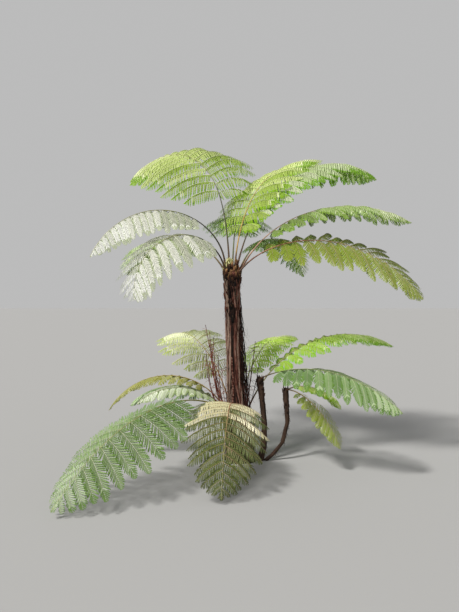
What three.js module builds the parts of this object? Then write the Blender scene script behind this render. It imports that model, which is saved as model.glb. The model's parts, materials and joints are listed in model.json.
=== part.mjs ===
// Tree fern: one clump from one root. A fibrous trunk carries the upper crown of arching fronds, a skirt of
// lower fronds leaves the swollen foot of the trunk, and two short offshoot stems stand at its right.
// Millimetres and degrees. +Z is up, the trunk's foot is cut flat at z = 0, and the origin is the middle of
// that cut.
import * as THREE from "three";

// Driving dimensions
const SEAT_GAP = 0.3;

const TRUNK = {
  sides: 24,
  lean: 95,
  leanHeight: 800,
  leanPower: 1.3,
  // height and radius, from the flat cut up to the crown
  profile: [
    [0, 172],
    [70, 152],
    [220, 138],
    [360, 142],
    [450, 150],
    [560, 100],
    [800, 86],
    [1100, 77],
    [1450, 73],
    [1700, 74],
    [1900, 86],
  ],
};
const SKIRT_RING = 4;

const HEART = {
  sides: 12,
  // height and radius of the scaly heart that carries the upper crown
  profile: [
    [1900, 90],
    [1960, 96],
    [2010, 74],
    [2050, 40],
    [2062, 30],
  ],
};
const HEART_OUTER_RING = 1;
const HEART_INNER_RING = 2;

// Each offshoot stem: its centre line from the ground up, and its radius at those points. The first stands
// against the foot of the trunk and the second against the first.
const STEM_SIDES = 8;
const STEM_FOOT = [36, 28];
const flatRadius = (radius, sides) => radius * Math.cos(Math.PI / sides);
const [FOOT_1, FOOT_2] = STEM_FOOT.map((radius) => flatRadius(radius, STEM_SIDES));
const STEM_1_X = flatRadius(TRUNK.profile[0][1], TRUNK.sides) + SEAT_GAP + FOOT_1;
const STEM_2_X = STEM_1_X + FOOT_1 + SEAT_GAP + FOOT_2;
const STEMS = {
  offshoot_stem_1: {
    line: [
      [STEM_1_X, -10, 0],
      [240, -12, 140],
      [250, -12, 380],
      [222, -10, 660],
      [196, -10, 850],
      [192, -10, 885],
    ],
    radius: [STEM_FOOT[0], 30, 26, 26, 34, 14],
  },
  offshoot_stem_2: {
    line: [
      [STEM_2_X, -10, 0],
      [345, -10, 70],
      [440, -10, 190],
      [492, -10, 400],
      [474, -10, 730],
      [470, -10, 765],
    ],
    radius: [STEM_FOOT[1], 23, 20, 19, 28, 12],
  },
};
const STEM_HEAD_RING = 4;

const STIPE = { sides: 6, steps: 5, firstStep: 45, tipRadius: 5.5, taper: 0.7 };
const BLADE = {
  neckRadius: 5,
  neckLength: 30,
  ridge: 4.5,
  shoulder: 2.5,
  shoulderAt: 0.5,
  thinning: 0.6,
  valley: 0.74,
  lastLine: 0.97,
  open: [78, 42],
  widest: 0.36,
  footWidth: 0.45,
  taper: 2.3,
  splitGap: 0.35,
};

// Each frond: where it is seated (body, ring and facet), the stipe's radius there, the heading of its midrib
// and how far that swings, the angle it rises at and how far it bends over, its length, the bare part of its
// length, and for its leaflet arms the longest arm, their lift, droop and roll, and the number of pairs that
// the outline shows. "split" is the place where a strongly bent blade is parted, and "open" the angle from the
// midrib at which its arms leave at the foot and at the tip, where it isn't the common one.
const FRONDS = [
  {
    name: "upper_frond_01", seat: ["heart", HEART_OUTER_RING, 7], stipe: 12,
    heading: 224, swing: -25, rise: 78, bend: 175, power: 0.88, length: 1620, bare: 0.24,
    arm: 570, lift: -0.02, droop: 0.78, roll: -17, pairs: 9, split: 0.54,
    open: [93, 51],
  },
  {
    name: "upper_frond_02", seat: ["heart", HEART_OUTER_RING, 6], stipe: 12,
    heading: 197, swing: 13, rise: 104, bend: 169, power: 0.73, length: 1980, bare: 0.33,
    arm: 390, lift: -0.31, droop: 0.4, roll: -15, pairs: 10, split: 0.66,
    open: [96, 58],
  },
  {
    name: "upper_frond_03", seat: ["heart", HEART_INNER_RING, 4], stipe: 11,
    heading: 109, swing: 42, rise: 81, bend: 126, power: 1.6, length: 2710, bare: 0.31,
    arm: 730, lift: 0.13, droop: 1.08, roll: -29, pairs: 10, split: 0.68,
    open: [70, 67],
  },
  {
    name: "upper_frond_04", seat: ["heart", HEART_INNER_RING, 2], stipe: 11,
    heading: 56, swing: -12, rise: 82, bend: 86, power: 1.15, length: 2150, bare: 0.2,
    arm: 600, lift: 0.22, droop: 0.9, roll: -10, pairs: 10,
  },
  {
    name: "upper_frond_05", seat: ["heart", HEART_INNER_RING, 1], stipe: 11,
    heading: 25, swing: -6, rise: 75, bend: 106, power: 1.4, length: 2420, bare: 0.26,
    arm: 540, lift: 0.05, droop: 1.05, roll: 0, pairs: 10, split: 0.66,
  },
  {
    name: "upper_frond_06", seat: ["heart", HEART_OUTER_RING, 0], stipe: 12,
    heading: 9, swing: -10, rise: 68, bend: 96, power: 0.86, length: 2170, bare: 0.24,
    arm: 480, lift: 0.1, droop: 0.95, roll: 3, pairs: 10, split: 0.62,
  },
  {
    name: "upper_frond_07", seat: ["heart", HEART_OUTER_RING, 11], stipe: 12,
    heading: 2, swing: -12, rise: 56, bend: 111, power: 0.73, length: 2220, bare: 0.17,
    arm: 660, lift: 0.08, droop: 0.48, roll: 22, pairs: 10, split: 0.6,
    open: [93, 51],
  },
  {
    name: "upper_frond_08", seat: ["heart", HEART_OUTER_RING, 1], stipe: 12,
    heading: 56, swing: 4, rise: 60, bend: 112, power: 0.9, length: 1900, bare: 0.2,
    arm: 380, lift: 0.1, droop: 1, roll: 0, pairs: 9, split: 0.6,
  },
  {
    name: "upper_frond_09", seat: ["heart", HEART_OUTER_RING, 3], stipe: 12,
    heading: 84, swing: 4, rise: 70, bend: 104, power: 1.1, length: 1900, bare: 0.3,
    arm: 520, lift: 0.1, droop: 1, roll: 0, pairs: 9, split: 0.6,
  },
  {
    name: "upper_frond_10", seat: ["heart", HEART_OUTER_RING, 5], stipe: 12,
    heading: 142, swing: -4, rise: 58, bend: 108, power: 0.9, length: 1850, bare: 0.2,
    arm: 480, lift: 0.1, droop: 0.95, roll: 4, pairs: 9, split: 0.6,
  },
  {
    name: "lower_frond_01", seat: ["trunk", SKIRT_RING, 15], stipe: 12,
    heading: 228, swing: 7, rise: 41, bend: 88, power: 0.68, length: 2400, bare: 0.32,
    arm: 510, lift: -0.23, droop: 0.5, roll: -4, pairs: 10, split: 0.6,
    open: [107, 40],
  },
  {
    name: "lower_frond_02", seat: ["trunk", SKIRT_RING, 17], stipe: 12,
    heading: 266, swing: -2, rise: 44, bend: 118, power: 0.88, length: 1680, bare: 0.13,
    arm: 460, lift: 0.12, droop: 0.75, roll: -9, pairs: 10,
    open: [68, 62],
  },
  {
    name: "lower_frond_03", seat: ["trunk", SKIRT_RING, 13], stipe: 9,
    heading: 206, swing: 4, rise: 52, bend: 88, power: 1.1, length: 1100, bare: 0.2,
    arm: 250, lift: 0.1, droop: 0.7, roll: 0, pairs: 7,
  },
  {
    name: "lower_frond_04", seat: ["trunk", SKIRT_RING, 11], stipe: 9,
    heading: 174, swing: 4, rise: 66, bend: 126, power: 0.92, length: 1550, bare: 0.22,
    arm: 250, lift: 0.1, droop: 0.9, roll: 0, pairs: 8,
  },
  {
    name: "lower_frond_05", seat: ["trunk", SKIRT_RING, 8], stipe: 11,
    heading: 136, swing: -22, rise: 70, bend: 88, power: 1.25, length: 1630, bare: 0.25,
    arm: 500, lift: 0.25, droop: 0.95, roll: -8, pairs: 9,
  },
  {
    name: "lower_frond_06", seat: ["trunk", SKIRT_RING, 2], stipe: 11,
    heading: 20, swing: -7, rise: 66, bend: 95, power: 1.08, length: 2130, bare: 0.24,
    arm: 410, lift: 0.14, droop: 0.9, roll: 0, pairs: 10,
  },
  {
    name: "lower_frond_07", seat: ["offshoot_stem_1", STEM_HEAD_RING, 7], stipe: 8,
    heading: 330, swing: -3, rise: 27, bend: 68, power: 0.9, length: 1600, bare: 0.12,
    arm: 460, lift: 0.05, droop: 0.9, roll: 4, pairs: 9,
  },
  {
    name: "lower_frond_08", seat: ["offshoot_stem_2", STEM_HEAD_RING, 7], stipe: 7,
    heading: 312, swing: 4, rise: 10, bend: 74, power: 0.6, length: 900, bare: 0.16,
    arm: 210, lift: 0.1, droop: 0.7, roll: 0, pairs: 6,
  },
  {
    name: "lower_frond_09", seat: ["offshoot_stem_2", STEM_HEAD_RING, 0], stipe: 7,
    heading: 15, swing: 0, rise: 22, bend: 80, power: 0.9, length: 680, bare: 0.16,
    arm: 240, lift: 0.1, droop: 0.8, roll: 0, pairs: 6,
  },
  {
    name: "lower_frond_10", seat: ["trunk", SKIRT_RING, 5], stipe: 11,
    heading: 58, swing: 6, rise: 74, bend: 96, power: 1, length: 1720, bare: 0.26,
    arm: 340, lift: 0.22, droop: 0.85, roll: -8, pairs: 9,
  },
  {
    name: "lower_frond_11", seat: ["trunk", SKIRT_RING, 10], stipe: 10,
    heading: 156, swing: -4, rise: 46, bend: 92, power: 0.95, length: 1350, bare: 0.2,
    arm: 360, lift: 0.12, droop: 0.8, roll: 0, pairs: 8,
  },
];

// Dead stipes: the bare stubs of old fronds that lean on the foot of the trunk.
const DEAD_STIPES = [
  { name: "dead_stipe_1", facet: 12, radius: 8, tip: [-375, 10, 1430] },
  { name: "dead_stipe_2", facet: 14, radius: 8, tip: [-335, -60, 1040] },
  { name: "dead_stipe_3", facet: 21, radius: 8, tip: [150, -75, 1260] },
];
const DEAD = { steps: 5, sides: 6, tipRadius: 4, sag: 45 };

// Young coiled frond on top of the heart.
const CROZIER = {
  name: "crozier",
  radius: 12,
  height: 34,
  stalkSteps: 3,
  coil: 34,
  turns: 1.1,
  coilSteps: 16,
  coilShrink: 0.62,
  taper: 0.72,
  sides: 6,
  heading: 200,
};

const COLOURS = {
  trunk: { color: 0x3f2a1f, roughness: 0.95 },
  heart: { color: 0x7a5a36, roughness: 0.95 },
  stem: { color: 0x2b211a, roughness: 0.95 },
  stipe: { color: 0x8a6a35, roughness: 0.7 },
  dead: { color: 0x7d3f2a, roughness: 0.9 },
  upper: { color: 0x8fb45a, roughness: 0.6 },
  lower: { color: 0x5f8a48, roughness: 0.6 },
};

const rad = THREE.MathUtils.degToRad;
const UP = new THREE.Vector3(0, 0, 1);

// Closed body through rings of equal length. The two halves of a ring are split alike, so the top and the bottom
// of a thin blade follow each other. A cap is cut in strips across the ring, from its first corner.
function loft(rings) {
  const n = rings[0].length;
  const corners = [];
  const put = (a, b, c) => corners.push(a, b, c);
  for (let j = 0; j + 1 < rings.length; j++) {
    const [a, b] = [rings[j], rings[j + 1]];
    for (let i = 0; i < n; i++) {
      const k = (i + 1) % n;
      if (i >= n / 2) {
        put(a[i], a[k], b[k]);
        put(a[i], b[k], b[i]);
      } else {
        put(a[i], a[k], b[i]);
        put(a[k], b[k], b[i]);
      }
    }
  }
  const cap = (ring, flip) => {
    const face = (a, b, c) => (flip ? put(a, c, b) : put(a, b, c));
    for (let i = 0; i < n / 2; i++) {
      if (i + 1 < n - i - 1) face(ring[i], ring[i + 1], ring[n - i - 1]);
      if (i > 0) face(ring[i], ring[n - i - 1], ring[n - i]);
    }
  };
  cap(rings[0], true);
  cap(rings.at(-1), false);
  const cross = new THREE.Vector3();
  const volume = corners.reduce(
    (sum, p, i) => (i % 3 ? sum : sum + p.dot(cross.crossVectors(corners[i + 1], corners[i + 2]))),
    0,
  );
  if (volume < 0) corners.reverse();
  const geometry = new THREE.BufferGeometry().setFromPoints(corners);
  geometry.computeVertexNormals();
  return geometry;
}

function piece(name, geometry, { color, roughness }) {
  const material = new THREE.MeshStandardMaterial({ color, roughness, metalness: 0 });
  const mesh = new THREE.Mesh(geometry, material);
  mesh.name = name;
  return mesh;
}

// Sideways lean of the trunk's centre line at a height.
function leanAt(z) {
  return -TRUNK.lean * (1 - Math.exp(-((z / TRUNK.leanHeight) ** TRUNK.leanPower)));
}

// Level ring whose facet k faces the heading k * 360 / sides.
function levelRing(centre, radius, sides) {
  return Array.from({ length: sides }, (_, i) => {
    const a = rad(((i - 0.5) * 360) / sides);
    return centre.clone().add(new THREE.Vector3(radius * Math.cos(a), radius * Math.sin(a), 0));
  });
}

const columnRings = ({ profile, sides }) =>
  profile.map(([z, radius]) => levelRing(new THREE.Vector3(leanAt(z), 0, z), radius, sides));

const stemRings = ({ line, radius }) =>
  line.map((p, i) => levelRing(new THREE.Vector3(...p), radius[i], STEM_SIDES));

const RINGS = {
  trunk: columnRings(TRUNK),
  heart: columnRings(HEART).map((ring, i) => ring.map((p) => (i ? p : p.setZ(p.z + SEAT_GAP)))),
  ...Object.fromEntries(Object.entries(STEMS).map(([name, stem]) => [name, stemRings(stem)])),
};

// Middle and outward normal of one facet between two rings.
function facet([body, ring, k]) {
  const [low, high] = [RINGS[body][ring], RINGS[body][ring + 1]];
  const n = low.length;
  const quad = [low[k % n], low[(k + 1) % n], high[(k + 1) % n], high[k % n]];
  const middle = quad.reduce((sum, p) => sum.add(p), new THREE.Vector3()).divideScalar(4);
  const normal = new THREE.Vector3().crossVectors(
    quad[2].clone().sub(quad[0]),
    quad[3].clone().sub(quad[1]),
  ).normalize();
  return { middle: middle.addScaledVector(normal, SEAT_GAP), normal };
}

// Ring of a round limb in the plane of "side" and "up", from the corner opposite "side".
function roundRing(centre, side, up, radius, sides) {
  return Array.from({ length: sides }, (_, i) => {
    const a = Math.PI - (i * 2 * Math.PI) / sides;
    return centre.clone()
      .addScaledVector(side, radius * Math.cos(a))
      .addScaledVector(up, radius * Math.sin(a));
  });
}

// The midrib: heading and slope change along the length by the frond's own rule.
const RIB_STEPS = 48;
function midrib(frond) {
  const points = [facet(frond.seat).middle];
  const ways = [];
  for (let i = 0; i < RIB_STEPS; i++) {
    const s = (i + 0.5) / RIB_STEPS;
    const slope = rad(frond.rise - frond.bend * s ** frond.power);
    const heading = rad(frond.heading + frond.swing * s);
    const way = new THREE.Vector3(
      Math.cos(slope) * Math.cos(heading),
      Math.cos(slope) * Math.sin(heading),
      Math.sin(slope),
    );
    ways.push(way);
    points.push(points.at(-1).clone().addScaledVector(way, frond.length / RIB_STEPS));
  }
  return { points, ways };
}

// Place on the midrib, its direction there, and the frond's own left and up.
function ribFrame(frond, rib, s) {
  const x = s * RIB_STEPS;
  const i = Math.min(Math.floor(x), RIB_STEPS - 1);
  const at = rib.points[i].clone().lerp(rib.points[i + 1], x - i);
  const j = THREE.MathUtils.clamp(Math.round(x), 1, RIB_STEPS - 1);
  const way = rib.ways[j - 1].clone().add(rib.ways[j]).normalize();
  const heading = rad(frond.heading + frond.swing * s);
  const level = new THREE.Vector3(-Math.sin(heading), Math.cos(heading), 0);
  const left = level.clone().applyAxisAngle(way, rad(frond.roll)).normalize();
  const up = new THREE.Vector3().crossVectors(way, left).normalize();
  return { at, way, left, up };
}

// Length of a leaflet arm against the longest one, at a place t along the leafy part.
function armShape(t) {
  if (t < BLADE.widest) {
    return BLADE.footWidth + (1 - BLADE.footWidth) * Math.sin((Math.PI / 2) * (t / BLADE.widest));
  }
  return 1 - ((t - BLADE.widest) / (1 - BLADE.widest)) ** BLADE.taper;
}

// A leaflet arm's shoulder and tip: it leaves the midrib forwards, lifts, and droops under its own weight.
function armPoints(frond, frame, t, side, reach) {
  const [atBase, atTip] = frond.open ?? BLADE.open;
  const open = rad(THREE.MathUtils.lerp(atBase, atTip, t));
  const way = frame.left.clone().multiplyScalar(side * Math.sin(open))
    .addScaledVector(frame.way, Math.cos(open))
    .addScaledVector(frame.up, frond.lift);
  const length = frond.arm * armShape(t) * reach;
  const pieces = [BLADE.shoulderAt, 1 - BLADE.shoulderAt];
  const points = [];
  let at = frame.at;
  let s = 0;
  for (const part of pieces) {
    const step = way.clone().addScaledVector(UP, -frond.droop * (s + part / 2)).normalize();
    at = at.clone().addScaledVector(step, length * part);
    points.push({ at, step });
    s += part;
  }
  return points;
}

// Eight corners across the blade: left tip, top shoulder, top ridge, top shoulder, right tip, and back below.
const BLADE_CORNERS = 8;
function bladeRing(frond, rib, t, reach) {
  const frame = ribFrame(frond, rib, frond.bare + (1 - frond.bare) * t);
  const [leftArm, rightArm] = [1, -1].map((side) => armPoints(frond, frame, t, side, reach));
  const skin = (point, side, half) => {
    const out = new THREE.Vector3().crossVectors(frame.way, point.step).multiplyScalar(side).normalize();
    return point.at.clone().addScaledVector(out, half);
  };
  const thick = 1 - BLADE.thinning * t;
  const [ridge, shoulder] = [BLADE.ridge * thick, BLADE.shoulder * thick];
  return [
    leftArm[1].at,
    skin(leftArm[0], 1, shoulder),
    frame.at.clone().addScaledVector(frame.up, ridge),
    skin(rightArm[0], -1, shoulder),
    rightArm[1].at,
    skin(rightArm[0], -1, -shoulder),
    frame.at.clone().addScaledVector(frame.up, -ridge),
    skin(leftArm[0], 1, -shoulder),
  ];
}

// The blade's rings: a round neck, then a full arm and a notch by turns out to the tip.
function bladeRings(frond, rib) {
  const neck = ribFrame(frond, rib, frond.bare);
  const neckAt = neck.at.clone().addScaledVector(neck.way, SEAT_GAP);
  const right = neck.left.clone().negate();
  const rings = [{ t: 0, ring: roundRing(neckAt, right, neck.up, BLADE.neckRadius, BLADE_CORNERS) }];
  const first = BLADE.neckLength / (frond.length * (1 - frond.bare));
  const lines = frond.pairs * 2;
  for (let i = 0; i <= lines; i++) {
    const t = THREE.MathUtils.lerp(first, BLADE.lastLine, i / lines);
    rings.push({ t, ring: bladeRing(frond, rib, t, i % 2 ? 1 : BLADE.valley) });
  }
  return rings;
}

function stipe(frond, rib) {
  const { middle, normal } = facet(frond.seat);
  const start = ribFrame(frond, rib, 0);
  const side = new THREE.Vector3().crossVectors(start.way, normal).normalize();
  if (side.lengthSq() < 0.5) side.copy(start.left);
  const ringAt = (at, across, way, radius) =>
    roundRing(at, across, new THREE.Vector3().crossVectors(across, way), radius, STIPE.sides);
  const rings = [ringAt(middle, side, normal, frond.stipe)];
  const firstAt = STIPE.firstStep / frond.length;
  for (let i = 0; i <= STIPE.steps; i++) {
    const s = THREE.MathUtils.lerp(firstAt, frond.bare, i / STIPE.steps);
    const frame = ribFrame(frond, rib, s);
    const radius = THREE.MathUtils.lerp(frond.stipe, STIPE.tipRadius, (s / frond.bare) ** STIPE.taper);
    const across = side.clone().addScaledVector(frame.way, -side.dot(frame.way)).normalize();
    rings.push(ringAt(frame.at, across, frame.way, radius));
  }
  return loft(rings);
}

// A frond: its stipe and its blade, parted at the bend where it bends strongly.
function frondPieces(frond) {
  const rib = midrib(frond);
  const look = frond.name.startsWith("upper") ? COLOURS.upper : COLOURS.lower;
  const made = [piece(`${frond.name}_stipe`, stipe(frond, rib), COLOURS.stipe)];
  const rings = bladeRings(frond, rib);
  const blade = (name, list) => piece(`${frond.name}_${name}`, loft(list), look);
  if (!frond.split) return [...made, blade("blade", rings.map((r) => r.ring))];
  const cut = rings.findIndex((r) => r.t > frond.split);
  const inner = rings.slice(0, cut + 1).map((r) => r.ring);
  const way = ribFrame(frond, rib, frond.bare + (1 - frond.bare) * rings[cut].t).way;
  const outer = rings.slice(cut).map((r, i) =>
    i ? r.ring : r.ring.map((p) => p.clone().addScaledVector(way, BLADE.splitGap)),
  );
  return [...made, blade("blade", inner), blade("blade_end", outer)];
}

// A dead stipe from its facet to its broken tip, sagging outward between them.
function deadStipe({ name, facet: k, radius, tip }) {
  const { middle, normal } = facet(["trunk", SKIRT_RING, k]);
  const end = new THREE.Vector3(...tip);
  const curve = new THREE.QuadraticBezierCurve3(
    middle,
    middle.clone().lerp(end, 0.5).addScaledVector(normal, DEAD.sag),
    end,
  );
  const rings = Array.from({ length: DEAD.steps + 1 }, (_, i) => {
    const s = i / DEAD.steps;
    const way = i ? curve.getTangent(s) : normal;
    const side = new THREE.Vector3().crossVectors(way, UP).normalize();
    const size = THREE.MathUtils.lerp(radius, DEAD.tipRadius, s);
    return roundRing(curve.getPoint(s), side, new THREE.Vector3().crossVectors(side, way), size, DEAD.sides);
  });
  return piece(name, loft(rings), COLOURS.dead);
}

// The crozier: a short stalk that ends in a spiral.
function crozier() {
  const foot = new THREE.Vector3(leanAt(HEART.profile.at(-1)[0]), 0, RINGS.heart.at(-1)[0].z + SEAT_GAP);
  const out = new THREE.Vector3(1, 0, 0).applyAxisAngle(UP, rad(CROZIER.heading));
  const path = [];
  for (let i = 0; i <= CROZIER.stalkSteps; i++) {
    path.push(foot.clone().addScaledVector(UP, (CROZIER.height * i) / CROZIER.stalkSteps));
  }
  const hub = path.at(-1).clone().addScaledVector(out, CROZIER.coil);
  for (let i = 1; i <= CROZIER.coilSteps; i++) {
    const s = i / CROZIER.coilSteps;
    const a = Math.PI - s * CROZIER.turns * 2 * Math.PI;
    const r = CROZIER.coil * (1 - CROZIER.coilShrink * s);
    path.push(hub.clone().addScaledVector(out, r * Math.cos(a)).addScaledVector(UP, r * Math.sin(a)));
  }
  const across = new THREE.Vector3().crossVectors(out, UP);
  const rings = path.map((p, i) => {
    const [before, after] = [path[Math.max(i - 1, 0)], path[Math.min(i + 1, path.length - 1)]];
    const way = i ? after.clone().sub(before).normalize() : UP;
    const size = CROZIER.radius * (1 - (CROZIER.taper * i) / path.length);
    return roundRing(p, across, new THREE.Vector3().crossVectors(across, way), size, CROZIER.sides);
  });
  return piece(CROZIER.name, loft(rings), COLOURS.heart);
}

const fern = new THREE.Group();
fern.add(piece("trunk", loft(RINGS.trunk), COLOURS.trunk));
fern.add(piece("crown_heart", loft(RINGS.heart), COLOURS.heart));
for (const name of Object.keys(STEMS)) fern.add(piece(name, loft(RINGS[name]), COLOURS.stem));
for (const frond of FRONDS) fern.add(...frondPieces(frond));
for (const dead of DEAD_STIPES) fern.add(deadStipe(dead));
fern.add(crozier());

export default fern;
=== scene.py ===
import json
import math
from collections import namedtuple

import bpy
import numpy as np
from mathutils import Matrix, Vector

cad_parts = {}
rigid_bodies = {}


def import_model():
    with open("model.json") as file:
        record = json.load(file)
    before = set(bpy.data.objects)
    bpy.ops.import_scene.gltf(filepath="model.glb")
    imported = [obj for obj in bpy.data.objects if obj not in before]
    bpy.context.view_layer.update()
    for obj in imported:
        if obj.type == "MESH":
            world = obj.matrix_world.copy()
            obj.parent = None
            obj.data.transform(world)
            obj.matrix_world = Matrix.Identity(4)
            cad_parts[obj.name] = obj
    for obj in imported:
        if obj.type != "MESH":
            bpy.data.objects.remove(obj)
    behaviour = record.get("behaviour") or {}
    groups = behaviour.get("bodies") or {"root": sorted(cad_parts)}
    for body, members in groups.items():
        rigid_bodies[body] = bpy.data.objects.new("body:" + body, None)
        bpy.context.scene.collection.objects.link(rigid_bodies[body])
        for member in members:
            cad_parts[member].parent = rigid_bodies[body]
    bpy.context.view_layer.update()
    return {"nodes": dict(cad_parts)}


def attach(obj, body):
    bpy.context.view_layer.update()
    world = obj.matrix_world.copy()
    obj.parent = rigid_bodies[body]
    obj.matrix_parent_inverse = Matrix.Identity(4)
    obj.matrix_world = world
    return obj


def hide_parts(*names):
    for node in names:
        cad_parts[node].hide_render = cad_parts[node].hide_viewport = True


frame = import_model()
scene = bpy.context.scene

# Trunk
# The trunk is a thin stem inside a thick mantle of its own roots, which swells into a foot cut flat at the
# ground. This is the inner part of the mantle, furrowed down its length, that shows between the ropes; its
# near-black colour, darkest in the furrows, is painted shade in the gaps.
TRUNK_LEAN = 0.095
LEAN_HEIGHT = 0.8
LEAN_POWER = 1.3
TRUNK_PROFILE = [
    (0, 0.172), (0.07, 0.152), (0.22, 0.138), (0.36, 0.142), (0.45, 0.15), (0.56, 0.1),
    (0.8, 0.086), (1.1, 0.077), (1.45, 0.073), (1.7, 0.074), (1.9, 0.086),
]
TRUNK_SIDES = 108
TRUNK_RINGS = 170
MANTLE_SINK = 0.025
RIDGE_FALL = 2.2
UP = Vector((0, 0, 1))
rng = np.random.default_rng(11)


def lean_at(z):
    """Sideways place of the trunk's centre line at a height."""
    return -TRUNK_LEAN * (1 - np.exp(-((np.maximum(z, 0) / LEAN_HEIGHT) ** LEAN_POWER)))


def colour(code):
    """Linear colour of a web colour code."""
    parts = [int(code[i : i + 2], 16) / 255 for i in (1, 3, 5)]
    return (*[p / 12.92 if p < 0.04045 else ((p + 0.055) / 1.055) ** 2.4 for p in parts], 1)


def add_object(name, mesh):
    thing = bpy.data.objects.new(name, mesh)
    scene.collection.objects.link(thing)
    return thing


def store(mesh, name, kind, values):
    """Puts one value per vertex on a mesh."""
    attribute = mesh.attributes.new(name, kind, "POINT")
    key = "vector" if kind == "FLOAT_VECTOR" else "value"
    attribute.data.foreach_set(key, np.asarray(values).ravel())


def body_through(name, rings):
    """Closed body through rings of points, with a fan to a middle point at each end."""
    rings = np.asarray(rings, float)
    count, sides = rings.shape[:2]
    points = [*rings.reshape(-1, 3), rings[0].mean(0), rings[-1].mean(0)]
    faces = []
    for j in range(count - 1):
        for i in range(sides):
            k = (i + 1) % sides
            faces.append((j * sides + i, j * sides + k, (j + 1) * sides + k, (j + 1) * sides + i))
    foot, head = count * sides, count * sides + 1
    last = (count - 1) * sides
    for i in range(sides):
        k = (i + 1) % sides
        faces.append((k, i, foot))
        faces.append((last + i, last + k, head))
    mesh = bpy.data.meshes.new(name)
    mesh.from_pydata([tuple(p) for p in points], [], faces)
    mesh.shade_smooth()
    return mesh


def column(name, centres, radii, sides, wrap_radius=1.0):
    """Upright body with level rings, which remembers the way out and a coordinate that wraps round it."""
    angles = np.arange(sides) * 2 * math.pi / sides
    ring = np.stack([np.cos(angles), np.sin(angles), np.zeros(sides)], 1)
    centres = np.asarray(centres, float)
    rings = centres[:, None] + ring[None] * np.asarray(radii)[:, None, None]
    mesh = body_through(name, rings)
    out = np.vstack([np.tile(ring, (len(centres), 1)), np.zeros((2, 3))])
    wrap = np.tile(ring * wrap_radius, (len(centres), 1))
    wrap[:, 2] = np.repeat(centres[:, 2], sides)
    ends = [[0, 0, centres[0, 2]], [0, 0, centres[-1, 2]]]
    store(mesh, "out", "FLOAT_VECTOR", out)
    store(mesh, "wrap", "FLOAT_VECTOR", np.vstack([wrap, ends]))
    return mesh


def new_tree(name, sockets):
    """Empty Geometry Nodes tree with named inputs."""
    tree = bpy.data.node_groups.new(name, "GeometryNodeTree")
    tree.interface.new_socket("Geometry", in_out="INPUT", socket_type="NodeSocketGeometry")
    for label, (kind, value) in sockets.items():
        socket = tree.interface.new_socket(label, in_out="INPUT", socket_type=f"NodeSocket{kind}")
        if value is not None:
            socket.default_value = value
    tree.interface.new_socket("Geometry", in_out="OUTPUT", socket_type="NodeSocketGeometry")
    return tree, tree.nodes.new("NodeGroupInput").outputs, tree.nodes.new("NodeGroupOutput").inputs


def lay(tree, kind, inputs=None, **settings):
    """Adds one node, sets it and wires its inputs, and returns its first output."""
    node = tree.nodes.new(kind)
    for name, value in settings.items():
        setattr(node, name, value)
    for key, value in (inputs or {}).items():
        if isinstance(value, bpy.types.NodeSocket):
            tree.links.new(value, node.inputs[key])
        else:
            node.inputs[key].default_value = value
    return next(s for s in node.outputs if s.enabled)


def sums(tree, operation, *values):
    return lay(tree, "ShaderNodeMath", dict(enumerate(values)), operation=operation)


def vectors(tree, operation, *values):
    return lay(tree, "ShaderNodeVectorMath", dict(enumerate(values)), operation=operation)


def scaled(tree, vector, factor):
    return lay(tree, "ShaderNodeVectorMath", {0: vector, "Scale": factor}, operation="SCALE")


def reading(tree, name, kind="FLOAT"):
    return lay(tree, "GeometryNodeInputNamedAttribute", {"Name": name}, data_type=kind)


def swing_of(tree, noise, depth):
    """How far a noise swings round its middle value, times a depth."""
    return sums(tree, "MULTIPLY", sums(tree, "SUBTRACT", noise, 0.5), depth)


def new_material(name, roughness, specular=0.5):
    """A material with its shader set up, and the tree that it stands in."""
    material = bpy.data.materials.new(name)
    material.use_nodes = True
    shader = material.node_tree.nodes["Principled BSDF"]
    shader.inputs["Roughness"].default_value = roughness
    shader.inputs["Specular IOR Level"].default_value = specular
    return material, material.node_tree, shader.inputs


def ramp(tree, value, stops):
    """Colours along a value, from pairs of a place and a web colour code."""
    node = tree.nodes.new("ShaderNodeValToRGB")
    tree.links.new(value, node.inputs["Fac"])
    for _ in range(len(stops) - 2):
        node.color_ramp.elements.new(0.5)
    for element, (at, code) in zip(node.color_ramp.elements, stops):
        element.position = at
        element.color = colour(code)
    return node.outputs["Color"]


def settle(thing, tree, values):
    """Runs a tree on an object with its inputs set, and leaves the result as its plain mesh."""
    modifier = thing.modifiers.new(tree.name, "NODES")
    modifier.node_group = tree
    for item in tree.interface.items_tree:
        if item.in_out == "INPUT" and item.name in values:
            modifier[item.identifier] = values[item.name]
    thing.update_tag()
    shaped = thing.evaluated_get(bpy.context.evaluated_depsgraph_get())
    mesh = bpy.data.meshes.new_from_object(shaped)
    thing.modifiers.clear()
    thing.data = mesh
    return thing


def forget(thing, *names):
    """Takes attributes off a finished mesh that nothing reads any more."""
    for name in names:
        attribute = thing.data.attributes.get(name)
        if attribute:
            thing.data.attributes.remove(attribute)


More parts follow.
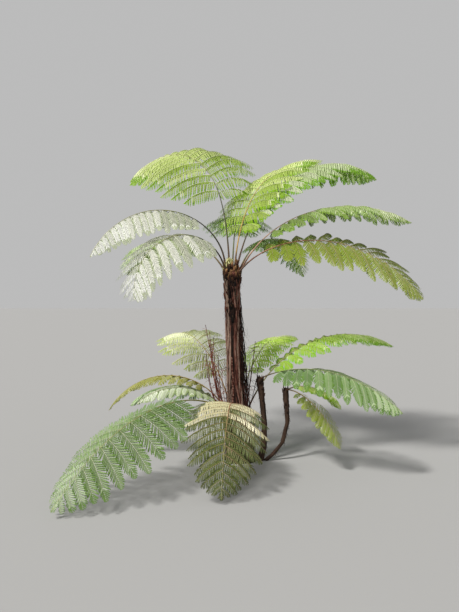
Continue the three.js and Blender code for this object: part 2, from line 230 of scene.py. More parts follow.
def mantle_tree():
    """Relief of a root mantle: broad ropes, fine roots between them, and knots."""
    tree, given, made = new_tree("root mantle", {
        "Rope depth": ("Float", 0.02),
        "Rope scale": ("Float", 3.4),
        "Root depth": ("Float", 0.006),
        "Knot depth": ("Float", 0.006),
        "Twist": ("Float", 0.7),
        "Seed": ("Float", 3.0),
        "Bark": ("Material", None),
    })
    wrap = reading(tree, "wrap", "FLOAT_VECTOR")
    parts = tree.nodes.new("ShaderNodeSeparateXYZ")
    tree.links.new(wrap, parts.inputs[0])
    turned = lay(tree, "ShaderNodeVectorRotate", {
        "Vector": wrap, "Axis": (0, 0, 1), "Angle": sums(tree, "MULTIPLY", parts.outputs[2], given["Twist"]),
    })

    def grain(stretch, scale, detail, shift):
        place = vectors(tree, "MULTIPLY", turned, stretch)
        return lay(tree, "ShaderNodeTexNoise", {
            "Vector": place, "W": sums(tree, "ADD", given["Seed"], shift), "Scale": scale,
            "Detail": detail, "Roughness": 0.55, "Distortion": 0.3,
        }, noise_dimensions="4D")

    def ridge(noise, sharpness):
        away = sums(tree, "ABSOLUTE", sums(tree, "SUBTRACT", sums(tree, "MULTIPLY", noise, 2.0), 1.0))
        fall = sums(tree, "MINIMUM", sums(tree, "MULTIPLY", away, RIDGE_FALL), 1.0)
        return sums(tree, "POWER", sums(tree, "SUBTRACT", 1.0, fall), sharpness)

    ropes = ridge(grain((1, 1, 0.2), given["Rope scale"], 1.0, 0.0), 0.7)
    roots = ridge(grain((1, 1, 0.1), 13.0, 2.0, 7.0), 0.8)
    knots = grain((1, 1, 2.6), 6.0, 3.0, 13.0)
    height = sums(tree, "ADD", sums(tree, "MULTIPLY", ropes, given["Rope depth"]),
                  sums(tree, "MULTIPLY", roots, given["Root depth"]))
    height = sums(tree, "ADD", height, swing_of(tree, knots, given["Knot depth"]))
    deep = sums(tree, "ADD", given["Rope depth"], given["Root depth"])
    relief = sums(tree, "DIVIDE", height, deep)
    marked = lay(tree, "GeometryNodeStoreNamedAttribute", {
        "Geometry": given["Geometry"], "Name": "relief", "Value": relief,
    }, data_type="FLOAT", domain="POINT")
    moved = lay(tree, "GeometryNodeSetPosition", {
        "Geometry": marked, "Offset": scaled(tree, reading(tree, "out", "FLOAT_VECTOR"), height),
    })
    bark = lay(tree, "GeometryNodeSetMaterial", {"Geometry": moved, "Material": given["Bark"]})
    tree.links.new(bark, made["Geometry"])
    return tree


def bark_material(name, codes, bump):
    """Matted roots: darker in the gaps as painted shade, reddish on the ropes, with fine streaks down the
    grain.
    """
    material, tree, shader = new_material(name, 0.88, 0.25)
    place = tree.nodes.new("ShaderNodeTexCoord").outputs["Object"]
    streak_place = lay(tree, "ShaderNodeMapping", {"Vector": place, "Scale": (260, 260, 9)})
    streaks = lay(tree, "ShaderNodeTexNoise", {
        "Vector": streak_place, "Scale": 1.0, "Detail": 5.0, "Roughness": 0.6,
    })
    patches = lay(tree, "ShaderNodeTexNoise", {"Vector": place, "Scale": 9.0, "Detail": 3.0})
    relief = lay(tree, "ShaderNodeAttribute", attribute_name="relief").node.outputs["Fac"]
    level = sums(tree, "ADD", relief, swing_of(tree, streaks, 0.75))
    level = sums(tree, "ADD", level, swing_of(tree, patches, 0.5))
    # low relief and low marks take the dark end of the ramp: painted shade in gaps and hollows
    skin = ramp(tree, level, list(zip(np.linspace(0.08, 0.95, len(codes)), codes)))
    tree.links.new(skin, shader["Base Color"])
    raised = lay(tree, "ShaderNodeBump", {"Strength": bump, "Distance": 0.002, "Height": streaks})
    tree.links.new(raised, shader["Normal"])
    return material


TRUNK_BARK = bark_material(
    "trunk_root_mantle", ["#030202", "#070504", "#0f0906", "#1d120c", "#33211a"], 0.6
)
MANTLE = mantle_tree()
heights = np.linspace(0, 1.9, TRUNK_RINGS)
profile_z, profile_r = np.array(TRUNK_PROFILE).T


def trunk_radius(z):
    return np.interp(z, profile_z, profile_r)


centres = np.stack([lean_at(heights), np.zeros(TRUNK_RINGS), heights], 1)
mesh = column("trunk_mantle", centres, trunk_radius(heights) - MANTLE_SINK, TRUNK_SIDES)
trunk = add_object("trunk_mantle", mesh)
settle(trunk, MANTLE, {"Rope depth": 0.018, "Root depth": 0.009, "Knot depth": 0.01, "Bark": TRUNK_BARK})
forget(trunk, "out", "wrap")
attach(trunk, "root")
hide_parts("trunk")

# Root ropes
# The roots of the mantle gather into ropes that wind down the trunk with black gaps between them. Each rope
# is a bundle of wiry roots 5 to 12 mm thick, pinkish brown on the outer side of the bundle and nearly black
# inside, which is painted light and shade.
ROPES = [
    # heading in degrees, and how light the rope is, partly painted light: lighter on the lit strands at the
    # front and left, darker on the shaded right
    (208, 0.9), (229, 0.75), (289, 0.5), (310, 0.75), (336, 0.34), (2, 0.28), (31, 0.45),
    (62, 0.6), (90, 0.4), (118, 0.55), (146, 0.4), (170, 0.6), (190, 0.45),
]
ROOTS_PER_ROPE = 18
ROOT_STEPS = 36
ROOT_SKIN = ["#0b0705", "#24130e", "#4b281f", "#744438", "#93695b", "#b29887"]


def wires(name, lines, radii, marks):
    """Edge chains with a radius and a colour mark at every point, for the tube tree."""
    points, edges, sizes, tints = [], [], [], []
    for line, radius, mark in zip(lines, radii, marks):
        start = len(points)
        points.extend(tuple(p) for p in line)
        edges.extend((start + i, start + i + 1) for i in range(len(line) - 1))
        sizes.extend(radius)
        tints.extend([mark] * len(line) if np.isscalar(mark) else mark)
    mesh = bpy.data.meshes.new(name)
    mesh.from_pydata(points, edges, [])
    store(mesh, "thickness", "FLOAT", sizes)
    store(mesh, "relief", "FLOAT", tints)
    return mesh


def tube_on(tree, curve, sides):
    """A capped tube of the thickness stored on a curve."""
    outline = lay(tree, "GeometryNodeCurvePrimitiveCircle", {"Resolution": sides, "Radius": 1.0}, mode="RADIUS")
    return lay(tree, "GeometryNodeCurveToMesh", {
        "Curve": curve, "Profile Curve": outline, "Scale": reading(tree, "thickness"), "Fill Caps": True,
    })


def tube_tree():
    """Turns edge chains into round tubes of the thickness stored on them."""
    tree, given, made = new_tree("round limbs", {
        "Sides": ("Int", 5),
        "Skin": ("Material", None),
    })
    curve = lay(tree, "GeometryNodeMeshToCurve", {"Mesh": given["Geometry"]})
    tube = tube_on(tree, curve, given["Sides"])
    smooth = lay(tree, "GeometryNodeSetShadeSmooth", {"Geometry": tube})
    skin = lay(tree, "GeometryNodeSetMaterial", {"Geometry": smooth, "Material": given["Skin"]})
    tree.links.new(skin, made["Geometry"])
    return tree


TUBES = tube_tree()
ROOT_BARK = bark_material("loose_root_skin", ROOT_SKIN, 0.5)


def rope_lines(ropes, each, centre_of, radius_of, low, high, spread, thickness):
    """Roots in bundles: each bundle wanders down an upright body, and its roots turn round one another."""
    lines, sizes, marks = [], [], []
    for heading, tone_and_light in ropes:
        phase = rng.uniform(0, 2 * math.pi, 3)
        twist = rng.uniform(3, 8) * rng.choice([-1, 1])
        for _ in range(each):
            top = high - (high - low) * 0.75 * rng.uniform() ** 2.4
            bottom = max(low, top - (high - low) * rng.uniform(0.3, 1.15))
            z = np.linspace(top, bottom, ROOT_STEPS)
            run = np.linspace(0, 1, ROOT_STEPS)
            wander = 0.13 * np.sin(z * 3.3 + phase[0]) + 0.07 * np.sin(z * 8.5 + phase[1])
            path = math.radians(heading) + wander
            swell = 1 + 0.3 * np.sin(z * 5 + phase[2])
            around = rng.uniform(0, 2 * math.pi) + twist * z
            reach = math.sqrt(rng.uniform(0.05, 1)) * swell
            size = rng.uniform(*thickness)
            x, y = centre_of(z)
            outward = 0.6 * spread * reach * np.sin(around)
            r = radius_of(z) - 0.35 * spread + outward + 0.0015 * np.sin(run * 40 + phase[2])
            angle = path + spread * reach * np.cos(around) / r + 0.012 * np.sin(run * 31 + around)
            lines.append(np.stack([x + r * np.cos(angle), y + r * np.sin(angle), z], 1))
            sizes.append(size * np.minimum(1, 7 * np.minimum(run + 0.04, 1.03 - run)))
            # lighter on the outer side of the bundle and darker inside it: painted light and shade
            marks.append(np.clip(tone_and_light + 0.26 * np.sin(around) + rng.normal(0, 0.14), 0.02, 1.1))
    return lines, sizes, marks


def fibre_lines(count, centre_of, radius_of, low, high, length, sides):
    """Short wiry ends that stand off the body and hang."""
    lines, sizes, marks = [], [], []
    for _ in range(count):
        z = rng.uniform(low, high)
        angle = math.radians(rng.uniform(*sides))
        x, y = centre_of(z)
        r = radius_of(z) + rng.uniform(-0.006, 0.008)
        out = Vector((math.cos(angle), math.sin(angle), 0))
        at = Vector((float(x), float(y), z)) + out * float(r)
        way = out * rng.uniform(0.3, 1) + Vector(rng.uniform(-0.6, 0.6, 3)) - UP * rng.uniform(0.2, 1.2)
        way.normalize()
        reach = rng.uniform(*length)
        line = [at - out * 0.004]
        for _ in range(6):
            way = (way + Vector(rng.uniform(-0.32, 0.32, 3)) - UP * 0.3).normalized()
            line.append(line[-1] + way * (reach / 6))
        if line[-1].z < 0.004:
            continue
        lines.append([tuple(p) for p in line])
        sizes.append(np.linspace(rng.uniform(0.0008, 0.0015), 0.0004, 7))
        marks.append(rng.uniform(0.1, 0.85))
    return lines, sizes, marks


def add_wires(name, parts, sides, skin):
    """One piece of many tubes, from lists of lines, radii and marks."""
    lines, sizes, marks = [sum((list(part[i]) for part in parts), []) for i in range(3)]
    thing = add_object(name, wires(name, lines, sizes, marks))
    settle(thing, TUBES, {"Sides": sides, "Skin": skin})
    forget(thing, "thickness")
    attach(thing, "root")
    return thing


def trunk_centre(z):
    return lean_at(z), 0 * z


ropes = rope_lines(ROPES, ROOTS_PER_ROPE, trunk_centre, trunk_radius, 0.012, 1.93, 0.02, (0.0024, 0.006))
add_wires("root_ropes", [ropes], 5, ROOT_BARK)

# Loose roots
# Single thin roots cross the gaps, dark ones hang free at the right of the trunk, where their darkness is
# painted shade, one knobbly one runs down its front, and short broken ends stand off it everywhere like
# coarse hair.
FREE_ROOTS = 34
HAIRS = 950
HANGING_ROOTS = 180
KNOTS = 20
KNOT_STEP = 0.005
thin_bundles = [(a, 0.16) for a in range(0, 360, 24)]
lines, sizes, marks = rope_lines(
    thin_bundles, 4, trunk_centre, trunk_radius, 0.012, 1.9, 0.03, (0.001, 0.0022)
)
for k in range(FREE_ROOTS):
    top = rng.uniform(0.95, 1.8)
    bottom = max(0.05, top - rng.uniform(0.35, 1.3))
    z = np.linspace(top, bottom, ROOT_STEPS)
    run = np.linspace(0, 1, ROOT_STEPS)
    waver = 0.004 * np.sin(run * rng.uniform(10, 26) + k) + 0.003 * np.sin(run * rng.uniform(30, 60))
    angle = rng.uniform(-0.95, 0.5) + 0.14 * np.sin(run * rng.uniform(3, 7) + k)
    away = rng.uniform(0.012, 0.055) * np.sin(math.pi * run * rng.uniform(0.55, 1)) ** 0.7 + 0.004 + waver
    r = trunk_radius(z) + away
    lines.append(np.stack([lean_at(z) + r * np.cos(angle), r * np.sin(angle) + waver, z], 1))
    sizes.append(np.full(ROOT_STEPS, rng.uniform(0.0016, 0.0042)) * np.minimum(1, 5 * (1.03 - run)))
    # dark marks: painted shade of the trunk's shaded right side
    marks.append(rng.uniform(0.02, 0.4))
z = np.arange(1.1, 0.5, -KNOT_STEP)
angle = math.radians(-107) + 0.07 * np.sin(z * 9) + 0.03 * np.sin(z * 37)
bulge = 0 * z
for at in np.cumsum(rng.uniform(0.02, 0.05, KNOTS)) + 0.48:
    bulge += rng.uniform(0.2, 1) * np.exp(-(((z - at) / rng.uniform(0.005, 0.01)) ** 2))
r = trunk_radius(z) + 0.006 + 0.004 * bulge
lines.append(np.stack([lean_at(z) + r * np.cos(angle), r * np.sin(angle), z], 1))
sizes.append(0.0058 + 0.0042 * bulge)
marks.append(0.55 + 0.35 * bulge + rng.uniform(-0.12, 0.12, len(z)))
add_wires("loose_roots", [(lines, sizes, marks)], 5, ROOT_BARK)
hairs = fibre_lines(HAIRS, trunk_centre, trunk_radius, 0.06, 1.9, (0.02, 0.08), (0, 360))
hanging = fibre_lines(HANGING_ROOTS, trunk_centre, trunk_radius, 0.5, 1.5, (0.08, 0.22), (-70, 40))
add_wires("root_hairs", [hairs, hanging], 3, ROOT_BARK)

# Old leaf bases
# Woody stubs of fallen fronds, left in a rising spiral round the top of the trunk: each is a thick oval base
# that hugs the trunk, points up and ends in a torn face.
STUB_TURN = math.radians(137.5)
STUB_SIDES = 9
STUB_SHAPE = [(0, 1.5), (0.22, 1.3), (0.5, 1.0), (0.8, 0.85), (1, 0.72), (1.02, 0.3)]
STUB_MARKS = [0.2, 0.4, 0.6, 0.8, 1.0, 0.45]


def stubs(name, seats, skin):
    """Torn leaf bases: each seat gives foot, way out, rise in degrees, length, width and how light it is."""
    points, faces, marks = [], [], []
    for foot, out, rise, length, width, light in seats:
        side = UP.cross(out).normalized()
        start = len(points)
        for j, (reach, swell) in enumerate(STUB_SHAPE):
            slope = math.radians(rise * (0.55 + 0.45 * reach))
            way = out * math.cos(slope) + UP * math.sin(slope)
            flat = side.cross(way)
            ragged = 0.012 if j >= 4 else 0.001
            torn = rng.uniform(-ragged, ragged, STUB_SIDES)
            for i in range(STUB_SIDES):
                a = 2 * math.pi * i / STUB_SIDES
                p = foot + way * (length * reach + torn[i])
                p += side * (width * swell * math.cos(a)) - flat * (width * 0.62 * swell * math.sin(a))
                points.append(tuple(p))
                marks.append(STUB_MARKS[j] * light * rng.uniform(0.75, 1.15))
        for j in range(len(STUB_SHAPE) - 1):
            for i in range(STUB_SIDES):
                n = (i + 1) % STUB_SIDES
                a, b = start + j * STUB_SIDES, start + (j + 1) * STUB_SIDES
                faces.append((a + i, a + n, b + n, b + i))
        faces.append(tuple(start + i for i in reversed(range(STUB_SIDES))))
        last = start + (len(STUB_SHAPE) - 1) * STUB_SIDES
        faces.append(tuple(last + i for i in range(STUB_SIDES)))
    mesh = bpy.data.meshes.new(name)
    mesh.from_pydata(points, [], faces)
    store(mesh, "relief", "FLOAT", marks)
    mesh.materials.append(skin)
    mesh.shade_smooth()
    return add_object(name, mesh)


def stub_seat(centre_of, radius_of, z, angle, sunk):
    """Foot and way out of a stub that is sunk a little into an upright body."""
    x, y = centre_of(z)
    out = Vector((math.cos(angle), math.sin(angle), 0))
    return Vector((float(x), float(y), z)) + out * (float(radius_of(z)) - sunk), out


OLD_BASES = 58
OLD_BASES_FOOT, OLD_BASES_TOP = 1.42, 1.92
seats = []
for k in range(OLD_BASES):
    z = OLD_BASES_FOOT + (OLD_BASES_TOP - OLD_BASES_FOOT) * (k / (OLD_BASES - 1)) ** 0.8
    angle = k * STUB_TURN + rng.uniform(-0.15, 0.15)
    foot, out = stub_seat(trunk_centre, trunk_radius, z, angle, 0.02)
    # the ones in the black gap of the front are made dark: painted shade
    light = rng.uniform(0.3, 0.85) * (0.3 if out[1] < -0.6 and out[0] < 0.1 else 0.8)
    rise, length, width = rng.uniform((66, 0.05, 0.012), (84, 0.1, 0.018))
    seats.append((foot, out, rise, length, width, light))
old_bases = stubs("old_leaf_bases", seats, ROOT_BARK)
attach(old_bases, "root")

# Offshoot stems
# Two short stems of the same root that stand right of the trunk: darker and thinner, with the same matted
# roots on them, each topped by the bases of its own small fronds.
STEM_SIDES = 56
STEM_RINGS = 90
STEM_BASES = 22
STEM_HAIRS = 230
FOOT = [0.036 * math.cos(math.pi / 8), 0.028 * math.cos(math.pi / 8)]
STEM_X = [0.172 * math.cos(math.pi / 24) + 0.0003 + FOOT[0]]
STEM_X.append(STEM_X[0] + FOOT[0] + 0.0003 + FOOT[1])
STEMS = {
    "offshoot_stem_1": (
        [(STEM_X[0], -0.01, 0), (0.24, -0.012, 0.14), (0.25, -0.012, 0.38), (0.222, -0.01, 0.66),
         (0.196, -0.01, 0.85), (0.192, -0.01, 0.885)],
        [0.036, 0.03, 0.026, 0.026, 0.034, 0.014],
    ),
    "offshoot_stem_2": (
        [(STEM_X[1], -0.01, 0), (0.345, -0.01, 0.07), (0.44, -0.01, 0.19), (0.492, -0.01, 0.4),
         (0.474, -0.01, 0.73), (0.47, -0.01, 0.765)],
        [0.028, 0.023, 0.02, 0.019, 0.028, 0.012],
    ),
}
STEM_BARK = bark_material(
    "stem_root_mantle", ["#050403", "#0f0a07", "#1c130e", "#30221a", "#4a382c"], 0.6
)
STEM_SKIN = bark_material(
    "stem_root_skin", ["#080605", "#18100b", "#2e1f17", "#4a352a", "#6b5446"], 0.5
)
for name, (line, radii) in STEMS.items():
    line = np.array(line)
    z = np.linspace(0, line[-1, 2], STEM_RINGS)

    def stem_centre(z, line=line):
        return np.interp(z, line[:, 2], line[:, 0]), np.interp(z, line[:, 2], line[:, 1])

    def stem_radius(z, line=line, radii=radii):
        return np.interp(z, line[:, 2], radii)

    centres = np.stack([*stem_centre(z), z], 1)
    mesh = column(name + "_mantle", centres, stem_radius(z) - 0.006, STEM_SIDES, 0.5)
    stem = add_object(name + "_mantle", mesh)
    settle(stem, MANTLE, {
        "Rope depth": 0.007, "Rope scale": 5.0, "Root depth": 0.003, "Knot depth": 0.005, "Seed": 21.0,
        "Bark": STEM_BARK,
    })
    forget(stem, "out", "wrap")
    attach(stem, "root")
    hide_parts(name)
    high = line[-2, 2]
    bundles = [(a, 0.4) for a in range(15, 375, 60)]
    ropes = rope_lines(bundles, 8, stem_centre, stem_radius, 0.012, high, 0.008, (0.0012, 0.0026))
    hairs = fibre_lines(STEM_HAIRS, stem_centre, stem_radius, 0.05, high, (0.015, 0.06), (0, 360))
    add_wires(name + "_roots", [ropes, hairs], 4, STEM_SKIN)
    seats = []
    for k in range(STEM_BASES):
        z = high - 0.3 + 0.31 * (k / (STEM_BASES - 1)) ** 0.7
        foot, out = stub_seat(stem_centre, stem_radius, z, k * STUB_TURN, 0.012)
        rise, length, width = rng.uniform((62, 0.035, 0.007), (84, 0.07, 0.011))
        seats.append((foot, out, rise, length, width, 0.8))
    stem_bases = stubs(name + "_leaf_bases", seats, STEM_SKIN)
    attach(stem_bases, "root")

# Dead stipes
# Bare reddish stalks of withered fronds that stand on the foot of the trunk, snapped at the top, with a few
# curled remains of their side branches.
SKIRT_RING = 4
DEAD_STIPES = [
    (12, 0.008, (-0.375, 0.01, 1.43)),
    (14, 0.008, (-0.335, -0.06, 1.04)),
    (21, 0.008, (0.15, -0.075, 1.26)),
]
DEAD_STEPS = 26


def trunk_seat(k):
    """Middle and outward way of one facet of the swollen foot."""
    (z1, r1), (z2, r2) = TRUNK_PROFILE[SKIRT_RING : SKIRT_RING + 2]
    angle = math.radians(15 * k)
    reach = (r1 + r2) / 2 * math.cos(math.pi / 24)
    middle = Vector(((lean_at(z1) + lean_at(z2)) / 2, 0, (z1 + z2) / 2))
    way = Vector((math.cos(angle), math.sin(angle), 0))
    out = Vector((way.x * (z2 - z1), way.y * (z2 - z1), (r1 - r2) * math.cos(math.pi / 24))).normalized()
    return middle + way * reach, out


def withered(k, tip, radius, twigs, sag=0.1, pale=1.0):
    """One withered stalk from a facet of the foot, with the curled remains of its side branches."""
    foot, out = trunk_seat(k)
    tip = Vector(tip)
    middle = foot.lerp(tip, 0.5).lerp(Vector((tip.x, tip.y, foot.z + 0.1)), sag)
    line = []
    for j in range(DEAD_STEPS):
        s = j / (DEAD_STEPS - 1)
        p = foot.lerp(middle, s).lerp(middle.lerp(tip, s), s)
        line.append(p + Vector(rng.uniform(-0.0022, 0.0022, 3)))
    line[0] = line[0] - out * 0.02
    s = np.linspace(0, 1, DEAD_STEPS)
    lines = [[tuple(p) for p in line]]
    sizes = [(radius * (1 - s) + 0.003 * s) * rng.uniform(0.82, 1.2, DEAD_STEPS)]
    marks = [pale * rng.uniform(0.35, 0.8, DEAD_STEPS)]
    for _ in range(twigs):
        j = int((DEAD_STEPS - 2) * rng.uniform(0.1, 1) ** 0.6)
        heading = rng.uniform(0, 2 * math.pi)
        way = Vector((math.cos(heading), math.sin(heading), rng.uniform(-0.1, 1.3))).normalized()
        twig = [line[j]]
        reach = rng.uniform(0.03, 0.13)
        for _ in range(7):
            way = (way + Vector(rng.uniform(-0.3, 0.3, 3)) - UP * 0.2).normalized()
            twig.append(twig[-1] + way * (reach / 7))
        lines.append([tuple(p) for p in twig])
        sizes.append(np.linspace(rng.uniform(0.0016, 0.003), 0.0008, 8))
        marks.append(pale * rng.uniform(0.3, 1.0))
    return lines, sizes, marks


DEAD_BARK = bark_material(
    "withered_stipe", ["#190b08", "#3f1c16", "#6f362b", "#9a5d4c", "#c09584"], 0.4
)
# the stalk at the right is made darker: painted shade of the trunk's shaded right side
main_stalks = [
    withered(k, tip, radius, 26, pale=0.4 if tip[0] > 0 else 1.0) for k, radius, tip in DEAD_STIPES
]
dead = add_wires("withered_stipes", main_stalks, 7, DEAD_BARK)
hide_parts("dead_stipe_1", "dead_stipe_2", "dead_stipe_3")
# thinner remains of the same age, most of them in a curtain at the left: seat, tip, radius at the foot,
# number of twigs, how much they bow out and how pale they are; the two at the right are darker, painted
# shade
THIN_STALKS = [
    (12, (-0.29, 0, 1.3), 0.005, 14, 0.8, 0.9), (13, (-0.33, -0.04, 1.36), 0.006, 18, 0.7, 1),
    (13, (-0.24, -0.07, 1.12), 0.005, 12, 0.7, 0.8), (14, (-0.3, -0.1, 1.2), 0.005, 14, 0.8, 1),
    (14, (-0.34, -0.08, 1.02), 0.005, 12, 0.9, 0.9), (15, (-0.2, -0.14, 0.98), 0.004, 10, 0.7, 1),
    (12, (-0.37, 0.03, 1.16), 0.005, 14, 0.9, 1), (11, (-0.31, 0.06, 1.22), 0.004, 10, 0.8, 0.7),
    (13, (-0.27, -0.05, 0.93), 0.004, 10, 0.8, 1), (15, (-0.17, -0.12, 1.08), 0.004, 10, 0.6, 0.8),
    (21, (0.09, -0.1, 1.05), 0.004, 8, 0.3, 0.3), (22, (0.19, -0.04, 1.02), 0.004, 8, 0.3, 0.3),
    (6, (-0.12, 0.24, 1), 0.004, 10, 0.3, 1),
]
add_wires("withered_twigs", [withered(*row) for row in THIN_STALKS], 4, DEAD_BARK)

# Crown heart
# The growing point: a blunt dome on top of the trunk, wrapped in the bases of the fronds. The bases stand
# close round it like the leaves of an artichoke, brown at the foot and paler at their torn tops.
HEART_PROFILE = [(1.9, 0.09), (1.96, 0.096), (2.01, 0.074), (2.05, 0.04), (2.062, 0.03)]
HEART_FOOT, HEART_TOP = 1.86, 2.062
HEART_SIDES = 72
HEART_STEPS = 30
HEART_BASES = 44
heart_z, heart_r = np.array(HEART_PROFILE).T
HEART_BARK = bark_material(
    "crown_heart_fibre", ["#0c0704", "#1d100b", "#3a2018", "#5d3a2a", "#84603f", "#a88a5c"], 0.6
)


def heart_radius(z):
    return np.interp(z, heart_z, heart_r, left=0.084)


z = np.linspace(HEART_FOOT, HEART_TOP, HEART_STEPS)
# its lower end draws in, so that no edge of it stands out of the trunk
radii = heart_radius(z) - 0.022 - 0.03 * np.clip((HEART_FOOT + 0.06 - z) / 0.06, 0, 1)
radii[-1] = 0.01
centres = np.stack([lean_at(z), np.zeros(HEART_STEPS), z], 1)
heart = add_object("crown_heart_dome", column("crown_heart_dome", centres, radii, HEART_SIDES))
settle(heart, MANTLE, {
    "Rope depth": 0.012, "Rope scale": 5.0, "Root depth": 0.005, "Knot depth": 0.012, "Seed": 40.0,
    "Bark": HEART_BARK,
})
forget(heart, "out", "wrap")
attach(heart, "root")
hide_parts("crown_heart")
seats = []
for k in range(HEART_BASES):
    z = HEART_FOOT + 0.18 * (k / (HEART_BASES - 1)) ** 0.8
    foot, out = stub_seat(trunk_centre, heart_radius, z, k * STUB_TURN, 0.02)
    light, rise, length, width = rng.uniform((0.5, 74, 0.045, 0.013), (1.05, 88, 0.085, 0.019))
    seats.append((foot, out, rise, length, width, light))
heart_bases = stubs("crown_heart_bases", seats, HEART_BARK)
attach(heart_bases, "root")

# Crozier
# A coiled young frond on a short stalk at the left of the heart, felted with pale scales.
COIL = 0.034
COIL_TURNS = 1.6
CROZIER_HEIGHT = 0.034
foot = Vector((float(lean_at(HEART_TOP)), 0, HEART_TOP))
line = [foot + UP * (CROZIER_HEIGHT * i / 9 - 0.012) for i in range(12)]
out = Vector((math.cos(math.radians(200)), math.sin(math.radians(200)), 0))
hub = line[-1] + out * COIL
for i in range(1, 49):
    s = i / 48
    a = math.pi - s * COIL_TURNS * 2 * math.pi
    r = COIL * (1 - 0.72 * s)
    line.append(hub + out * (r * math.cos(a)) + UP * (r * math.sin(a)))
s = np.linspace(0, 1, len(line))
YOUNG_SKIN = bark_material("young_frond_skin", ["#6a6732", "#98954f", "#bdb97a", "#dcd9a8"], 0.4)
crozier = add_object("young_crozier", wires("young_crozier", [line], [0.0115 * (1 - 0.66 * s)], [0.75]))
settle(crozier, TUBES, {"Sides": 12, "Skin": YOUNG_SKIN})
forget(crozier, "thickness")
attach(crozier, "root")
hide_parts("crozier")
# the bases of the next fronds, felted like it, swell on the same side of the heart
YOUNG_BASES = 9
seats = []
for k in range(YOUNG_BASES):
    angle = math.radians(165 + 85 * k / (YOUNG_BASES - 1) + rng.uniform(-12, 12))
    foot, out = stub_seat(trunk_centre, heart_radius, 1.985 + 0.008 * k, angle, 0.01)
    rise, length, light = rng.uniform((60, 0.04, 0.8), (80, 0.06, 1.1))
    seats.append((foot, out, rise, length, 0.014, light))
young_bases = stubs("young_frond_bases", seats, YOUNG_SKIN)
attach(young_bases, "root")

# Frond stipes
# Each frond is carried by one stalk, thick and scaly where it leaves the heart or the foot and thinning all
# the way to the frond's tip. It rises, arches over and hangs by one rule, and the leaflet arms branch from it.
RIB_STEPS = 48
Frond = namedtuple(
    "Frond",
    "name seat stipe heading swing rise bend power length bare arm lift droop roll open_base open_tip tint",
)
FRONDS = [Frond(*row) for row in (
    # name, seat, radius of the stalk, heading, swing, rise, bend, power of the bend, length,
    # then bare share, longest arm, lift and droop of the arms, roll, how wide they open at base and tip, tint;
    # the growth values of the fronds in the photograph began as a program's fit of this rule to it
    ("upper_frond_01", ("outer", 7), 0.012, 224, -25, 78, 175, 0.88, 1.62,
     0.24, 0.57, -0.02, 0.78, -17, 93, 51, 0.1),
    ("upper_frond_02", ("outer", 6), 0.012, 197, 13, 104, 169, 0.73, 1.98,
     0.33, 0.39, -0.31, 0.4, -15, 96, 58, 0.1),
    ("upper_frond_03", ("inner", 4), 0.011, 109, 42, 81, 126, 1.6, 2.71,
     0.31, 0.73, 0.13, 1.08, -29, 70, 67, 0.12),
    ("upper_frond_04", ("inner", 2), 0.011, 56, -12, 82, 86, 1.15, 2.15,
     0.2, 0.6, 0.22, 0.9, -10, 78, 42, 0.72),
    ("upper_frond_05", ("inner", 1), 0.011, 25, -6, 75, 106, 1.4, 2.42,
     0.26, 0.54, 0.05, 1.05, 0, 78, 42, 0.12),
    ("upper_frond_06", ("outer", 0), 0.012, 9, -10, 68, 96, 0.86, 2.17,
     0.24, 0.48, 0.1, 0.95, 3, 78, 42, 0.88),
    ("upper_frond_07", ("outer", 11), 0.012, 2, -12, 56, 111, 0.73, 2.22,
     0.17, 0.66, 0.08, 0.48, 22, 93, 51, 0.97),
    ("upper_frond_08", ("outer", 1), 0.012, 56, 4, 60, 112, 0.9, 1.9,
     0.2, 0.38, 0.1, 1, 0, 78, 42, 0.3),
    ("upper_frond_09", ("outer", 3), 0.012, 84, 4, 70, 104, 1.1, 1.9,
     0.3, 0.52, 0.1, 1, 0, 78, 42, 0.2),
    ("upper_frond_10", ("outer", 5), 0.012, 142, -4, 58, 108, 0.9, 1.85,
     0.2, 0.48, 0.1, 0.95, 4, 78, 42, 0.5),
    ("lower_frond_01", ("trunk", 15), 0.012, 228, 7, 41, 88, 0.68, 2.4,
     0.32, 0.51, -0.23, 0.5, -4, 107, 40, 0.45),
    ("lower_frond_02", ("trunk", 17), 0.012, 266, -2, 44, 118, 0.88, 1.68,
     0.13, 0.46, 0.12, 0.75, -9, 68, 62, 0.97),
    ("lower_frond_03", ("trunk", 13), 0.009, 206, 4, 52, 88, 1.1, 1.1,
     0.2, 0.25, 0.1, 0.7, 0, 78, 42, 0.2),
    ("lower_frond_04", ("trunk", 11), 0.009, 174, 4, 66, 126, 0.92, 1.55,
     0.22, 0.25, 0.1, 0.9, 0, 78, 42, 0.6),
    ("lower_frond_05", ("trunk", 8), 0.011, 136, -22, 70, 88, 1.25, 1.63,
     0.25, 0.5, 0.25, 0.95, -8, 78, 42, 0.72),
    ("lower_frond_06", ("trunk", 2), 0.011, 20, -7, 66, 95, 1.08, 2.13,
     0.24, 0.41, 0.14, 0.9, 0, 78, 42, 0.5),
    ("lower_frond_07", ("stem_1", 7), 0.008, 330, -3, 27, 68, 0.9, 1.6,
     0.12, 0.46, 0.05, 0.9, 4, 78, 42, 0.3),
    ("lower_frond_08", ("stem_2", 7), 0.007, 312, 4, 10, 74, 0.6, 0.9,
     0.16, 0.21, 0.1, 0.7, 0, 78, 42, 0.6),
    ("lower_frond_09", ("stem_2", 0), 0.007, 15, 0, 22, 80, 0.9, 0.68,
     0.16, 0.24, 0.1, 0.8, 0, 78, 42, 0.5),
    ("lower_frond_10", ("trunk", 5), 0.011, 58, 6, 74, 96, 1, 1.72,
     0.26, 0.34, 0.22, 0.85, -8, 78, 42, 0.4),
    ("lower_frond_11", ("trunk", 10), 0.01, 156, -4, 46, 92, 0.95, 1.35,
     0.2, 0.36, 0.12, 0.8, 0, 78, 42, 0.3),
)]
HEART_RINGS_OF = {"outer": 1, "inner": 2}
STIPE_TIP = 0.0055
RIB_TIP = 0.0011
GREEN_TINT = 0.42
TINTS = [
    # dark for stalks in shade (painted shade), green, straw, orange, pale pink, red
    (0.1, "#34331f"), (0.32, "#6f7a45"), (0.5, "#8f8450"),
    (0.72, "#b08a34"), (0.87, "#b08d72"), (1, "#95503a"),
]


